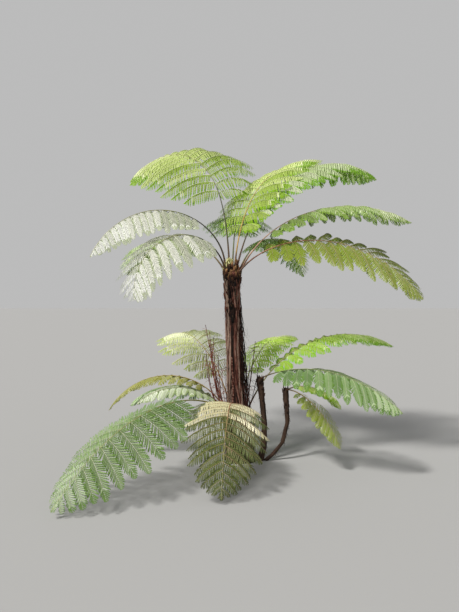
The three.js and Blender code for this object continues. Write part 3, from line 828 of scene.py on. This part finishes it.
def seat_of(seat):
    """Where a frond leaves its body, and the way out there."""
    body, k = seat
    if body == "trunk":
        return trunk_seat(k)
    if body in HEART_RINGS_OF:
        ring = HEART_RINGS_OF[body]
        (z1, r1), (z2, r2) = HEART_PROFILE[ring : ring + 2]
        sides = 12
        low, high = Vector((lean_at(z1), 0, z1)), Vector((lean_at(z2), 0, z2))
    else:
        line, radii = STEMS["offshoot_" + body]
        low, high = Vector(line[4]), Vector(line[5])
        r1, r2 = radii[4:6]
        sides = 8
    angle = 2 * math.pi * k / sides
    way = Vector((math.cos(angle), math.sin(angle), 0))
    flat = math.cos(math.pi / sides)
    out = Vector((way.x * (high.z - low.z), way.y * (high.z - low.z), (r1 - r2) * flat)).normalized()
    return (low + high) / 2 + way * ((r1 + r2) / 2 * flat), out


class Rib:
    """The midrib of one frond: its heading and slope change along its length by the frond's own rule."""

    def __init__(self, frond, foot):
        self.frond = frond
        self.points, self.ways = [foot], []
        for i in range(RIB_STEPS):
            s = (i + 0.5) / RIB_STEPS
            slope = math.radians(frond.rise - frond.bend * s**frond.power)
            turn = math.radians(frond.heading + frond.swing * s)
            way = Vector((
                math.cos(slope) * math.cos(turn), math.cos(slope) * math.sin(turn), math.sin(slope),
            ))
            self.ways.append(way)
            self.points.append(self.points[-1] + way * (frond.length / RIB_STEPS))

    def at(self, s):
        """Place, direction, left and up at a share of the length."""
        x = s * RIB_STEPS
        i = min(int(x), RIB_STEPS - 1)
        place = self.points[i].lerp(self.points[i + 1], x - i)
        mix = min(max(x - 0.5, 0), RIB_STEPS - 1.001)
        way = self.ways[int(mix)].lerp(self.ways[int(mix) + 1], mix - int(mix)).normalized()
        turn = math.radians(self.frond.heading + self.frond.swing * s)
        level = Vector((-math.sin(turn), math.cos(turn), 0))
        left = Matrix.Rotation(math.radians(self.frond.roll), 3, way) @ level
        return place, way, left, way.cross(left).normalized()


def stipe_material():
    """Brown and speckled at the foot, then the stalk's own green, straw or red or a dark painted shade, and
    paler towards the tip.
    """
    material, tree, shader = new_material("stipe_skin", 0.55)
    place = tree.nodes.new("ShaderNodeTexCoord").outputs["Object"]
    specks = lay(tree, "ShaderNodeTexNoise", {"Vector": place, "Scale": 160.0, "Detail": 3.0})
    clouds = lay(tree, "ShaderNodeTexNoise", {"Vector": place, "Scale": 14.0, "Detail": 2.0})
    along = lay(tree, "ShaderNodeAttribute", attribute_name="relief").node.outputs["Fac"]
    tint = lay(tree, "ShaderNodeAttribute", attribute_name="tint").node.outputs["Fac"]

    def mixed(share, first, second):
        mix = tree.nodes.new("ShaderNodeMix")
        mix.data_type = "RGBA"
        for socket, value in zip((mix.inputs[0], mix.inputs[6], mix.inputs[7]), (share, first, second)):
            tree.links.new(value, socket)
        return mix.outputs[2]

    own = ramp(tree, tint, TINTS)
    foot = ramp(tree, specks, [(0.3, "#22140c"), (0.5, "#4a2c18"), (0.72, "#8a5e32")])
    end = ramp(tree, specks, [(0.3, "#8c8f4e"), (0.7, "#b3b478")])
    grown = sums(tree, "ADD", along, swing_of(tree, clouds, 0.2))
    early = lay(tree, "ShaderNodeMapRange", {"Value": grown, "From Min": 0.03, "From Max": 0.16})
    late = lay(tree, "ShaderNodeMapRange", {"Value": grown, "From Min": 0.35, "From Max": 1.0})
    tree.links.new(mixed(late, mixed(early, foot, own), end), shader["Base Color"])
    return material


STIPE_SKIN = stipe_material()
ribs = {}
stalks = {"upper": ([], [], [], []), "lower": ([], [], [], [])}
for frond in FRONDS:
    foot, out = seat_of(frond.seat)
    rib = Rib(frond, foot)
    ribs[frond.name] = rib
    bare, stipe = frond.bare, frond.stipe
    lines, sizes, marks, tints = stalks[frond.name[:5]]
    shares = np.concatenate([np.linspace(0, bare, 15)[:-1], np.linspace(bare, 1, 40)])
    line = [rib.at(s)[0] for s in shares]
    bare_size = stipe + (STIPE_TIP - stipe) * (np.minimum(shares, bare) / bare) ** 0.7
    leafy = np.maximum(shares - bare, 0) / (1 - bare)
    lines.append([line[0] - out * 0.02, *line])
    sizes.append([stipe * 1.25, *(bare_size * (1 - leafy) ** 1.5 + RIB_TIP * leafy)])
    marks.append([0, *shares])
    # the stalks painted dark for shade turn green where the leaflets begin
    grown_tint = GREEN_TINT if frond.tint < 0.2 else frond.tint
    tints.extend([frond.tint, *(frond.tint + (grown_tint - frond.tint) * np.minimum(leafy / 0.25, 1))])
for kind, (lines, sizes, marks, tints) in stalks.items():
    mesh = wires(kind + "_frond_stalks", lines, sizes, marks)
    store(mesh, "tint", "FLOAT", tints)
    store(mesh, "share", "FLOAT", [mark for line_marks in marks for mark in line_marks])
    stalk = add_object(kind + "_frond_stalks", mesh)
    settle(stalk, TUBES, {"Sides": 9, "Skin": STIPE_SKIN})
    forget(stalk, "thickness")
    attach(stalk, "root")
    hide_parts(*[frond.name + "_stipe" for frond in FRONDS if frond.name.startswith(kind)])

# Papery scales
# Thin curled scales up to 4 cm long cover the heart, the old bases and the feet of the stalks like coarse
# fur: straw, rust and dark brown ones mixed. On the coiled frond and the young bases they are a pale felt.
SCALE_CODES = ["#1a0e0a", "#351d15", "#553424", "#86663f"]
FELT_CODES = ["#8d8847", "#b6b46c", "#d2cf98", "#e8e5c2"]


def scale_mesh():
    """One scale: a narrow curved blade, 1 long, folded a little along its middle."""
    spine = [(0, 0), (0.3, 0.05), (0.62, 0.17), (1, 0.42)]
    half = [0.035, 0.06, 0.045]
    points, faces = [], []
    for (x, z), w in zip(spine, half):
        points.extend([(x, w, z), (x, 0, z + 0.02), (x, -w, z)])
    points.append((spine[-1][0], 0, spine[-1][1]))
    for j in range(2):
        for i in range(2):
            a = 3 * j + i
            faces.append((a, a + 1, a + 4, a + 3))
    faces.extend([(6, 7, 9), (7, 8, 9)])
    mesh = bpy.data.meshes.new("scale")
    mesh.from_pydata(points, [], [face[::-1] for face in faces])
    mesh.shade_smooth()
    return mesh


def random_vector(tree, reach, seed):
    """A vector drawn for every point, each part within plus and minus its reach."""
    node = tree.nodes.new("FunctionNodeRandomValue")
    node.data_type = "FLOAT_VECTOR"
    node.inputs["Min"].default_value = [-part for part in reach]
    node.inputs["Max"].default_value = reach
    tree.links.new(seed, node.inputs["Seed"])
    return node.outputs["Value"]


def skin_where(tree, mesh, key, number, skin):
    """Gives a material to the part of a mesh that carries one number."""
    same = lay(tree, "FunctionNodeCompare", {
        2: reading(tree, key, "INT"), 3: number,
    }, data_type="INT", operation="EQUAL")
    return lay(tree, "GeometryNodeSetMaterial", {"Geometry": mesh, "Selection": same, "Material": skin})


def shape_of(tree, thing, skin):
    """The mesh of another object, in one material."""
    shape = lay(tree, "GeometryNodeObjectInfo", {"Object": thing}).node.outputs["Geometry"]
    return lay(tree, "GeometryNodeSetMaterial", {"Geometry": shape, "Material": skin})


def fur_tree():
    """Scatters scales over a surface, pointing up and standing off it, in four plain colours."""
    tree, given, made = new_tree("papery scales", {
        "Scale": ("Object", None),
        "Density": ("Float", 20000.0),
        "Reach": ("Float", 1.0),
        "Length": ("Float", 0.025),
        "Seed": ("Int", 5),
        **{f"Tone {i}": ("Material", None) for i in range(4)},
    })
    # the fur thins out along the stalk, whose share of its length is stored on it
    near = lay(tree, "ShaderNodeMapRange", {
        "Value": reading(tree, "share"), "From Max": given["Reach"], "To Min": 1.0, "To Max": 0.0,
    })
    density = sums(tree, "MULTIPLY", given["Density"], near)
    spots = lay(tree, "GeometryNodeDistributePointsOnFaces", {
        "Mesh": given["Geometry"], "Density": density, "Seed": given["Seed"],
    })
    normal = spots.node.outputs["Normal"]
    jitter = random_vector(tree, (0.5, 0.5, 0.35), given["Seed"])
    rise = vectors(tree, "ADD", scaled(tree, normal, 0.45), (0, 0, 0.9))
    way = vectors(tree, "ADD", rise, jitter)
    turn = lay(tree, "FunctionNodeAxesToRotation", {
        "Primary Axis": way, "Secondary Axis": normal,
    }, primary_axis="X", secondary_axis="Z")
    size = lay(tree, "FunctionNodeRandomValue", {
        2: 0.45, 3: 1.35, "Seed": sums(tree, "ADD", given["Seed"], 3),
    })
    put = lay(tree, "GeometryNodeInstanceOnPoints", {
        "Points": spots, "Instance": shape_of(tree, given["Scale"], given["Tone 0"]),
        "Rotation": turn, "Scale": sums(tree, "MULTIPLY", size, given["Length"]),
    })
    kind = tree.nodes.new("FunctionNodeRandomValue")
    kind.data_type = "INT"
    kind.inputs[4].default_value = 0
    kind.inputs[5].default_value = 3
    tree.links.new(sums(tree, "ADD", given["Seed"], 11), kind.inputs["Seed"])
    marked = lay(tree, "GeometryNodeStoreNamedAttribute", {
        "Geometry": put, "Name": "tone", "Value": kind.outputs[2],
    }, data_type="INT", domain="INSTANCE")
    skinned = lay(tree, "GeometryNodeRealizeInstances", {"Geometry": marked})
    for i in range(1, 4):
        skinned = skin_where(tree, skinned, "tone", i, given[f"Tone {i}"])
    tree.links.new(skinned, made["Geometry"])
    return tree


def plain_material(name, code, roughness):
    """One constant colour, for the small leafy things that are dealt out by spray."""
    material, _, shader = new_material(name, roughness, 0.4)
    shader["Base Color"].default_value = colour(code)
    return material


SCALE = add_object("scale", scale_mesh())
FUR = fur_tree()
BROWNS, FELT = [
    {f"Tone {i}": plain_material(f"{name}_{i}", code, 0.7) for i, code in enumerate(codes)}
    for name, codes in (("papery_scale", SCALE_CODES), ("felt_scale", FELT_CODES))
]


def fur_on(source, name, density, length, reach, seed, tones=BROWNS):
    """A piece of scales on a copy of a finished piece."""
    mesh = source.data.copy()
    if "share" not in mesh.attributes:
        store(mesh, "share", "FLOAT", np.zeros(len(mesh.vertices)))
    mesh.materials.clear()
    mesh.materials.append(tones["Tone 0"])
    fur = add_object(name, mesh)
    settle(fur, FUR, {
        "Scale": SCALE, "Density": density, "Length": length, "Reach": reach, "Seed": seed, **tones,
    })
    forget(fur, "tone", "relief", "share", "tint")
    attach(fur, "root")


# where, name, scales for each square metre, their length, how far up a stalk they reach, seed
fur_on(heart, "crown_scales_dome", 9000.0, 0.026, 1.0, 3)
fur_on(heart_bases, "crown_scales_bases", 4200.0, 0.022, 1.0, 17)
fur_on(old_bases, "trunk_scales", 1200.0, 0.02, 1.0, 23)
fur_on(crozier, "young_crozier_felt", 30000.0, 0.02, 1.0, 29, FELT)
fur_on(young_bases, "young_bases_felt", 14000.0, 0.02, 1.0, 37, FELT)
for number, kind in enumerate(("upper", "lower")):
    stalk = bpy.data.objects[kind + "_frond_stalks"]
    fur_on(stalk, kind + "_stalk_scales", 15000.0, 0.016, 0.1, 31 + number)
    forget(stalk, "share")
bpy.data.objects.remove(SCALE)

# Fronds
# A frond is a wide feather of leaflet arms in pairs. Each arm is a narrow feather itself: it leaves the stalk
# forwards, arches over and droops, with lobed leaflets that slope down from its pale midrib on both sides.
ARM_STEPS = 10
WIDEST, FOOT_WIDTH, ARM_TAPER = 0.36, 0.45, 2.3
LEAF_LIMIT = 0.13
LOBES = 5
FOLD = 0.2
LOOKS = {
    # leaflets near the heart, in the middle, towards the tip, their tips, the arms' midribs, then the pitch
    # of the leaflets, how much of it one fills, and how far they slope down. The greens are partly the leaves'
    # own colours and partly painted light: the whitish grey-greens of the two silvery upper fronds are painted
    # sheen, the pale tones of lime, misty and cream paint highlights of sun on the leaves, the vivid limes of
    # bright and of the sunlit lower frond paint sun shining through them, and the dark tones of front paint
    # the shade under its lit top.
    # painted sheen: glossy leaves reflecting the sky, painted as pale grey-green
    "silver": ("#b4b8a4", "#dadcd0", "#eceee6", "#b6bf9e", "#eceadb", 0.0195, 0.88, 0.3),
    "lime": ("#a0b855", "#c6d586", "#dbe5ac", "#86b01f", "#dfe0b4", 0.0205, 1.02, 0.3),
    "fresh": ("#6f8f38", "#98b45f", "#bacf84", "#6fa01c", "#c9cc9a", 0.023, 0.9, 0.3),
    "bright": ("#93b63c", "#a4c652", "#c0d880", "#80b420", "#ccd290", 0.023, 0.9, 0.3),
    # painted sunlight: vivid lime for a frond in the sun, which the key light doesn't reach
    "sunny": ("#bfe055", "#cdea6c", "#def294", "#a4d62e", "#e6eca8", 0.023, 0.98, 0.3),
    "sage": ("#98a382", "#b0ba9c", "#cad2ba", "#8fa168", "#d5d6c0", 0.021, 0.86, 0.3),
    "cream": ("#c6cc94", "#d4dba6", "#e4eac4", "#aebe68", "#e6e4bc", 0.023, 0.92, 0.3),
    "misty": ("#bcc6a0", "#aebf8a", "#a5be72", "#76a622", "#dadcbc", 0.023, 1.0, 0.3),
    "pale": ("#748b48", "#93aa68", "#b6c492", "#789838", "#ced0a4", 0.022, 0.86, 0.3),
    "olive": ("#7f9230", "#808c3a", "#8c9a4c", "#7f8f2c", "#ad966e", 0.022, 0.86, 0.25),
    "shade": ("#6d8550", "#7f9562", "#a0b28a", "#64843c", "#b3bb8e", 0.0175, 0.98, 0.2),
    # painted light and shade: cream near the heart, where the top of the frond is lit, and dark green below
    "front": ("#cbc59e", "#6a7040", "#5c6632", "#465020", "#a98a66", 0.0165, 0.98, 0.22),
    "deep": ("#64804a", "#7c9660", "#a6bb8c", "#608434", "#c4cba4", 0.021, 0.88, 0.25),
    "straw": ("#8a8a3e", "#94964e", "#9fa05c", "#7f8230", "#b8a878", 0.022, 0.88, 0.3),
}
FOLIAGE = {
    # look, space between the arms, length of a leaflet against that space, how far the leaflets hang, and
    # how far they turn their faces to the light
    "upper_frond_01": ("silver", 0.1, 0.72, 0.25, 0.6),
    "upper_frond_02": ("silver", 0.088, 0.86, 0.25, 0.55),
    "upper_frond_03": ("lime", 0.1, 1.15, 0.6, 0.25),
    "upper_frond_04": ("lime", 0.092, 1.1, 0.45, 0.3),
    "upper_frond_05": ("misty", 0.09, 1.0, 0.45, 0.35),
    "upper_frond_06": ("pale", 0.098, 0.78, 0.3, 0.45),
    "upper_frond_07": ("olive", 0.098, 0.74, 0.25, 0.5),
    "upper_frond_08": ("fresh", 0.12, 0.7, 0.3, 0.2),
    "upper_frond_09": ("fresh", 0.12, 0.7, 0.3, 0.2),
    "upper_frond_10": ("pale", 0.12, 0.7, 0.3, 0.2),
    "lower_frond_01": ("shade", 0.128, 0.78, 0.2, 0.9),
    "lower_frond_02": ("front", 0.1, 1.0, 0.45, 0.25),
    "lower_frond_03": ("sage", 0.1, 0.75, 0.2, 0.5),
    "lower_frond_04": ("straw", 0.11, 0.7, 0.2, 0.3),
    "lower_frond_05": ("cream", 0.1, 0.95, 0.5, 0.4),
    "lower_frond_06": ("bright", 0.1, 0.8, 0.3, 0.4),
    "lower_frond_07": ("deep", 0.1, 0.8, 0.3, 0.6),
    "lower_frond_08": ("olive", 0.1, 0.85, 0.25, 0.5),
    "lower_frond_09": ("lime", 0.1, 0.85, 0.3, 0.5),
    "lower_frond_10": ("sunny", 0.1, 1.0, 0.4, 0.6),
    "lower_frond_11": ("deep", 0.12, 0.7, 0.3, 0.2),
}
LIGHT = Vector((-0.3, -0.84, 0.45))
BASE_JITTER = 3.5
SHORTEST_ARM = 0.03


def arm_shape(t):
    """Length of an arm against the longest one, at a share of the leafy part."""
    if t < WIDEST:
        return FOOT_WIDTH + (1 - FOOT_WIDTH) * math.sin(math.pi / 2 * t / WIDEST)
    return 1 - ((t - WIDEST) / (1 - WIDEST)) ** ARM_TAPER


def leaflet_mesh():
    """One leaflet, 1 long and 1 wide: slanting lobes along a midline that curls down to its tip."""
    spine = [i / LOBES for i in range(LOBES + 1)]

    def sag(x):
        return -0.13 * x * x

    points = [(x, 0, sag(x)) for x in spine]
    faces = []
    for side in (1, -1):
        for i in range(LOBES):
            a, b = spine[i], spine[i + 1]
            step = b - a
            near_w = 0.5 * (1 - a**3.2) ** 0.8 * min(1, 0.74 + i * 0.16)
            far_w = 0.34 * (1 - b**3.2) ** 0.8 * min(1, 0.74 + i * 0.16)
            near = (a + 0.5 * step, side * near_w, sag(a) - FOLD * near_w)
            far = (b + 0.24 * step, side * far_w, sag(b) - FOLD * far_w)
            if i == LOBES - 1:
                far = (b - 0.03 * step, side * 0.05, sag(b) - 0.01)
            n = len(points)
            points.extend([near, far])
            quad = (i, i + 1, n + 1, n)
            faces.append(quad if side > 0 else quad[::-1])
    mesh = bpy.data.meshes.new("leaflet")
    mesh.from_pydata(points, [], faces)
    # the outer half is marked so that it can take a darker green: painted shade at the hanging end
    towards_tip = mesh.attributes.new("towards_tip", "INT", "FACE")
    towards_tip.data.foreach_set("value", [int(i > LOBES / 2) for i in range(LOBES)] * 2)
    return mesh


def leaflet_tree():
    """Sets leaflets along both sides of every arm and gives each spray its own plain green; the outer half of
    every leaflet takes the darker tips green, painted shade under its paler, painted-light upper half.
    """
    tree, given, made = new_tree("leaflet arms", {
        "Leaflet": ("Object", None),
        "Fill": ("Float", 0.86),
        "Slope": ("Float", 0.3),
        "Hang": ("Float", 0.2),
        "Louvre": ("Float", 0.3),
        "Scatter": ("Float", 0.11),
        "Seed": ("Int", 1),
        **{label: ("Material", None) for label in ("Inner", "Middle", "Outer", "Tips", "Midrib")},
    })
    curve = lay(tree, "GeometryNodeMeshToCurve", {"Mesh": given["Geometry"]})
    midribs = tube_on(tree, curve, 3)
    spaced = lay(tree, "GeometryNodeResampleCurve", {
        "Curve": curve, "Length": reading(tree, "pitch"),
    }, mode="LENGTH")
    tangent = lay(tree, "GeometryNodeInputTangent")
    normal = reading(tree, "upward", "FLOAT_VECTOR")
    across = vectors(tree, "NORMALIZE", vectors(tree, "CROSS_PRODUCT", normal, tangent))
    along = reading(tree, "along")
    size = tree.nodes.new("ShaderNodeFloatCurve")
    tree.links.new(along, size.inputs["Value"])
    curve_points = size.mapping.curves[0].points
    shape = [(0, 0.66), (0.1, 0.93), (0.32, 1.0), (0.62, 0.92), (0.84, 0.62), (1, 0.14)]
    for x, y in shape[1:-1]:
        curve_points.new(x, y)
    for point, (x, y) in zip(curve_points, shape):
        point.location = (x, y)
    size.mapping.update()
    size = size.outputs["Value"]
    open_angle = lay(tree, "ShaderNodeMapRange", {
        "Value": along, "To Min": math.radians(72), "To Max": math.radians(40),
    })
    sideways = sums(tree, "SINE", open_angle)
    forwards = scaled(tree, tangent, sums(tree, "COSINE", open_angle))
    down = vectors(tree, "ADD", scaled(tree, normal, sums(tree, "MULTIPLY", given["Slope"], -1.0)),
                   lay(tree, "ShaderNodeCombineXYZ", {2: sums(tree, "MULTIPLY", given["Hang"], -1.0)}))
    join = tree.nodes.new("GeometryNodeJoinGeometry")
    leaflet = shape_of(tree, given["Leaflet"], given["Inner"])
    for number, side in enumerate((1.0, -1.0)):
        seed = sums(tree, "ADD", given["Seed"], number * 50)
        way = scaled(tree, across, sums(tree, "MULTIPLY", sideways, side))
        way = vectors(tree, "ADD", vectors(tree, "ADD", way, forwards), down)
        turn = lay(tree, "FunctionNodeAxesToRotation", {
            "Primary Axis": way, "Secondary Axis": normal,
        }, primary_axis="X", secondary_axis="Z")
        tilt = vectors(tree, "ADD", scaled(tree, random_vector(tree, (1, 1, 1), seed), given["Scatter"]),
                       lay(tree, "ShaderNodeCombineXYZ", {0: sums(tree, "MULTIPLY", given["Louvre"], side)}))
        turn = lay(tree, "FunctionNodeRotateRotation", {
            "Rotation": turn, "Rotate By": lay(tree, "FunctionNodeEulerToRotation", {"Euler": tilt}),
        }, rotation_space="LOCAL")
        vary = lay(tree, "FunctionNodeRandomValue", {2: 0.9, 3: 1.06, "Seed": sums(tree, "ADD", seed, 7)})
        long = sums(tree, "MULTIPLY", sums(tree, "MULTIPLY", reading(tree, "leaf"), size), vary)
        wide = sums(tree, "MULTIPLY", sums(tree, "MULTIPLY", reading(tree, "pitch"), given["Fill"]),
                    sums(tree, "ADD", 0.5, sums(tree, "MULTIPLY", size, 0.5)))
        leaflets = lay(tree, "GeometryNodeInstanceOnPoints", {
            "Points": spaced, "Instance": leaflet, "Rotation": turn,
            "Scale": lay(tree, "ShaderNodeCombineXYZ", {0: long, 1: wide, 2: long}),
        })
        tree.links.new(leaflets, join.inputs["Geometry"])
    skinned = lay(tree, "GeometryNodeRealizeInstances", {"Geometry": join.outputs["Geometry"]})
    for number, label in enumerate(("Middle", "Outer", "Tips"), 1):
        skinned = skin_where(tree, skinned, "tone", number, given[label])
    # the outer, hanging half of each leaflet in the tips green: painted shade under its paler, painted-light
    # upper half
    skinned = skin_where(tree, skinned, "towards_tip", 1, given["Tips"])
    ribbed = lay(tree, "GeometryNodeSetMaterial", {"Geometry": midribs, "Material": given["Midrib"]})
    whole = tree.nodes.new("GeometryNodeJoinGeometry")
    tree.links.new(ribbed, whole.inputs["Geometry"])
    tree.links.new(skinned, whole.inputs["Geometry"])
    tree.links.new(whole.outputs["Geometry"], made["Geometry"])
    return tree


LEAFLET = add_object("leaflet", leaflet_mesh())
LEAFLET_ARMS = leaflet_tree()
GREENS = {
    look: [
        plain_material(f"{look}_{part}", code, 0.42)
        for part, code in zip(("inner", "middle", "outer", "tips", "midrib"), values)
    ]
    for look, values in LOOKS.items()
}


def arms_of(frond, skin, pitch, space, share, facing):
    """The arms of one frond as edge chains, with what the leaflet tree reads at every point."""
    rib, bare, arm = ribs[frond.name], frond.bare, frond.arm
    leafy = frond.length * (1 - bare)
    count = max(round(leafy / (space * (arm / 0.6) ** 0.5)), 8)
    points, edges = [], []
    data = {key: [] for key in ("along", "upward", "leaf", "pitch", "thickness", "tone")}

    def chain(line, normals, leaf, thick, tone, end_tone):
        start = len(points)
        points.extend(line)
        edges.extend((start + i, start + i + 1) for i in range(len(line) - 1))
        for j, normal in enumerate(normals):
            u = j / (len(line) - 1)
            data["along"].append(u)
            data["upward"].append(tuple(normal))
            data["leaf"].append(leaf)
            data["pitch"].append(pitch * min(1, (leaf / 0.07) ** 0.5))
            data["thickness"].append(thick * (1 - 0.75 * u))
            data["tone"].append(end_tone if u > 0.72 else tone)

    for k in range(count):
        q = (k + 0.5) / count
        place = 1.28 * q - 0.28 * q * q
        gap = (1.28 - 0.56 * q) * leafy / count
        for side in (1, -1):
            t = min(max(place + rng.uniform(-0.1, 0.1) / count + side * 0.1 / count, 0.004), 0.985)
            at, way, left, up = rib.at(bare + (1 - bare) * t)
            opening = frond.open_base + (frond.open_tip - frond.open_base) * t
            angle = math.radians(opening + rng.uniform(-BASE_JITTER, BASE_JITTER))
            reach = max(arm * arm_shape(t) * rng.uniform(0.93, 1.02), SHORTEST_ARM)
            start_way = left * (side * math.sin(angle)) + way * math.cos(angle)
            start_way += up * (frond.lift + rng.uniform(-0.05, 0.05))
            sag = frond.droop * rng.uniform(0.9, 1.1)
            line, normals = [at], []
            for j in range(ARM_STEPS):
                step = (start_way - UP * (sag * (j + 0.5) / ARM_STEPS)).normalized()
                line.append(line[-1] + step * (reach / ARM_STEPS))
                normal = (way.cross(step) * side).normalized().lerp(LIGHT, facing)
                normals.append((normal - step * normal.dot(step)).normalized())
            normals.append(normals[-1])
            leaf = min(gap * share, LEAF_LIMIT, reach * 0.34)
            # tones step from the heart to the frond's tip, partly the leaves' own change and partly painted
            # light and shade, such as the lit top of the front frond
            tone = int(min(max(t * 3 + rng.uniform(-0.5, 0.5), 0), 2))
            end_tone = 3 if rng.random() < 0.5 else tone
            chain([tuple(p) for p in line], normals, leaf, 0.0009 + 0.0021 * reach, tone, end_tone)
    # the last stretch of the stalk carries leaflets itself
    tip = [rib.at(s) for s in np.linspace(1 - 0.05 * (1 - bare), 1, 6)]
    chain([tuple(p[0]) for p in tip], [p[3] for p in tip], 0.03, 0.0008, 2, 3)
    mesh = bpy.data.meshes.new(frond.name + "_leaflets")
    mesh.from_pydata(points, edges, [])
    mesh.materials.append(skin)
    for key, values in data.items():
        store(mesh, key, {"upward": "FLOAT_VECTOR", "tone": "INT"}.get(key, "FLOAT"), values)
    return mesh


for number, frond in enumerate(FRONDS):
    look, space, share, hang, facing = FOLIAGE[frond.name]
    inner, middle, outer, tips, midrib = GREENS[look]
    *_, pitch, fill, slope = LOOKS[look]
    mesh = arms_of(frond, inner, pitch, space, share, facing)
    leaves = add_object(frond.name + "_leaflets", mesh)
    settle(leaves, LEAFLET_ARMS, {
        "Leaflet": LEAFLET, "Fill": fill, "Slope": slope, "Hang": hang, "Seed": 100 + number * 7,
        "Inner": inner, "Middle": middle, "Outer": outer, "Tips": tips, "Midrib": midrib,
    })
    forget(leaves, "along", "upward", "leaf", "pitch", "thickness", "tone", "towards_tip")
    blades = (frond.name + "_blade", frond.name + "_blade_end")
    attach(leaves, "root")
    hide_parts(*[node for node in frame["nodes"] if node in blades])
bpy.data.objects.remove(LEAFLET)

# Studio
# A pale floor that runs out into an even pale surround, one soft high key light from the left, and the camera
# where the photographer's eye was.
FLOOR_REACH = 400
FLOOR_TONE = 0.32
PALE = 0.5
ZENITH = 0.34
SUN_POWER = 4.3
SUN_SOFTNESS = 9
SUN_COLOUR = (1, 0.975, 0.93)
TOWARDS_SUN = (-0.56, -0.52, 0.92)
floor_mesh = bpy.data.meshes.new("studio_floor")
corners = [(x * FLOOR_REACH, y * FLOOR_REACH, 0) for x, y in ((-1, -1), (1, -1), (1, 1), (-1, 1))]
floor_mesh.from_pydata(corners, [], [(0, 1, 2, 3)])
floor = add_object("studio_floor", floor_mesh)
floor_paint, _, floor_shader = new_material("studio_floor", 0.9)
floor_shader["Base Color"].default_value = (*[FLOOR_TONE] * 3, 1)
floor_mesh.materials.append(floor_paint)

world = bpy.data.worlds.new("studio")
world.use_nodes = True
sky = world.node_tree
facing = sky.nodes.new("ShaderNodeTexCoord").outputs["Generated"]
parts = sky.nodes.new("ShaderNodeSeparateXYZ")
sky.links.new(facing, parts.inputs[0])
fade = sky.nodes.new("ShaderNodeValToRGB")
fade.color_ramp.elements[0].position = 0.5
fade.color_ramp.elements[0].color = (*[PALE] * 3, 1)
fade.color_ramp.elements[1].position = 0.95
fade.color_ramp.elements[1].color = (*[ZENITH] * 3, 1)
sky.links.new(parts.outputs[2], fade.inputs["Fac"])
sky.links.new(fade.outputs["Color"], sky.nodes["Background"].inputs["Color"])
scene.world = world

sun = bpy.data.lights.new("key", "SUN")
sun.energy = SUN_POWER
sun.angle = math.radians(SUN_SOFTNESS)
sun.color = SUN_COLOUR
key = bpy.data.objects.new("key", sun)
key.rotation_euler = Vector(TOWARDS_SUN).to_track_quat("Z", "Y").to_euler()
scene.collection.objects.link(key)

SENSOR = 24
FOCAL_PIXELS = 595
PHOTO_HEIGHT = 612
EYE = (-0.12, -6.3, 1.63)
camera_data = bpy.data.cameras.new("camera")
camera_data.sensor_fit = "VERTICAL"
camera_data.sensor_height = SENSOR
camera_data.lens = FOCAL_PIXELS / PHOTO_HEIGHT * SENSOR
camera = bpy.data.objects.new("camera", camera_data)
camera.location = EYE
camera.rotation_euler = (math.radians(90), 0, 0)
scene.collection.objects.link(camera)
scene.camera = camera
scene.view_settings.view_transform = "Standard"
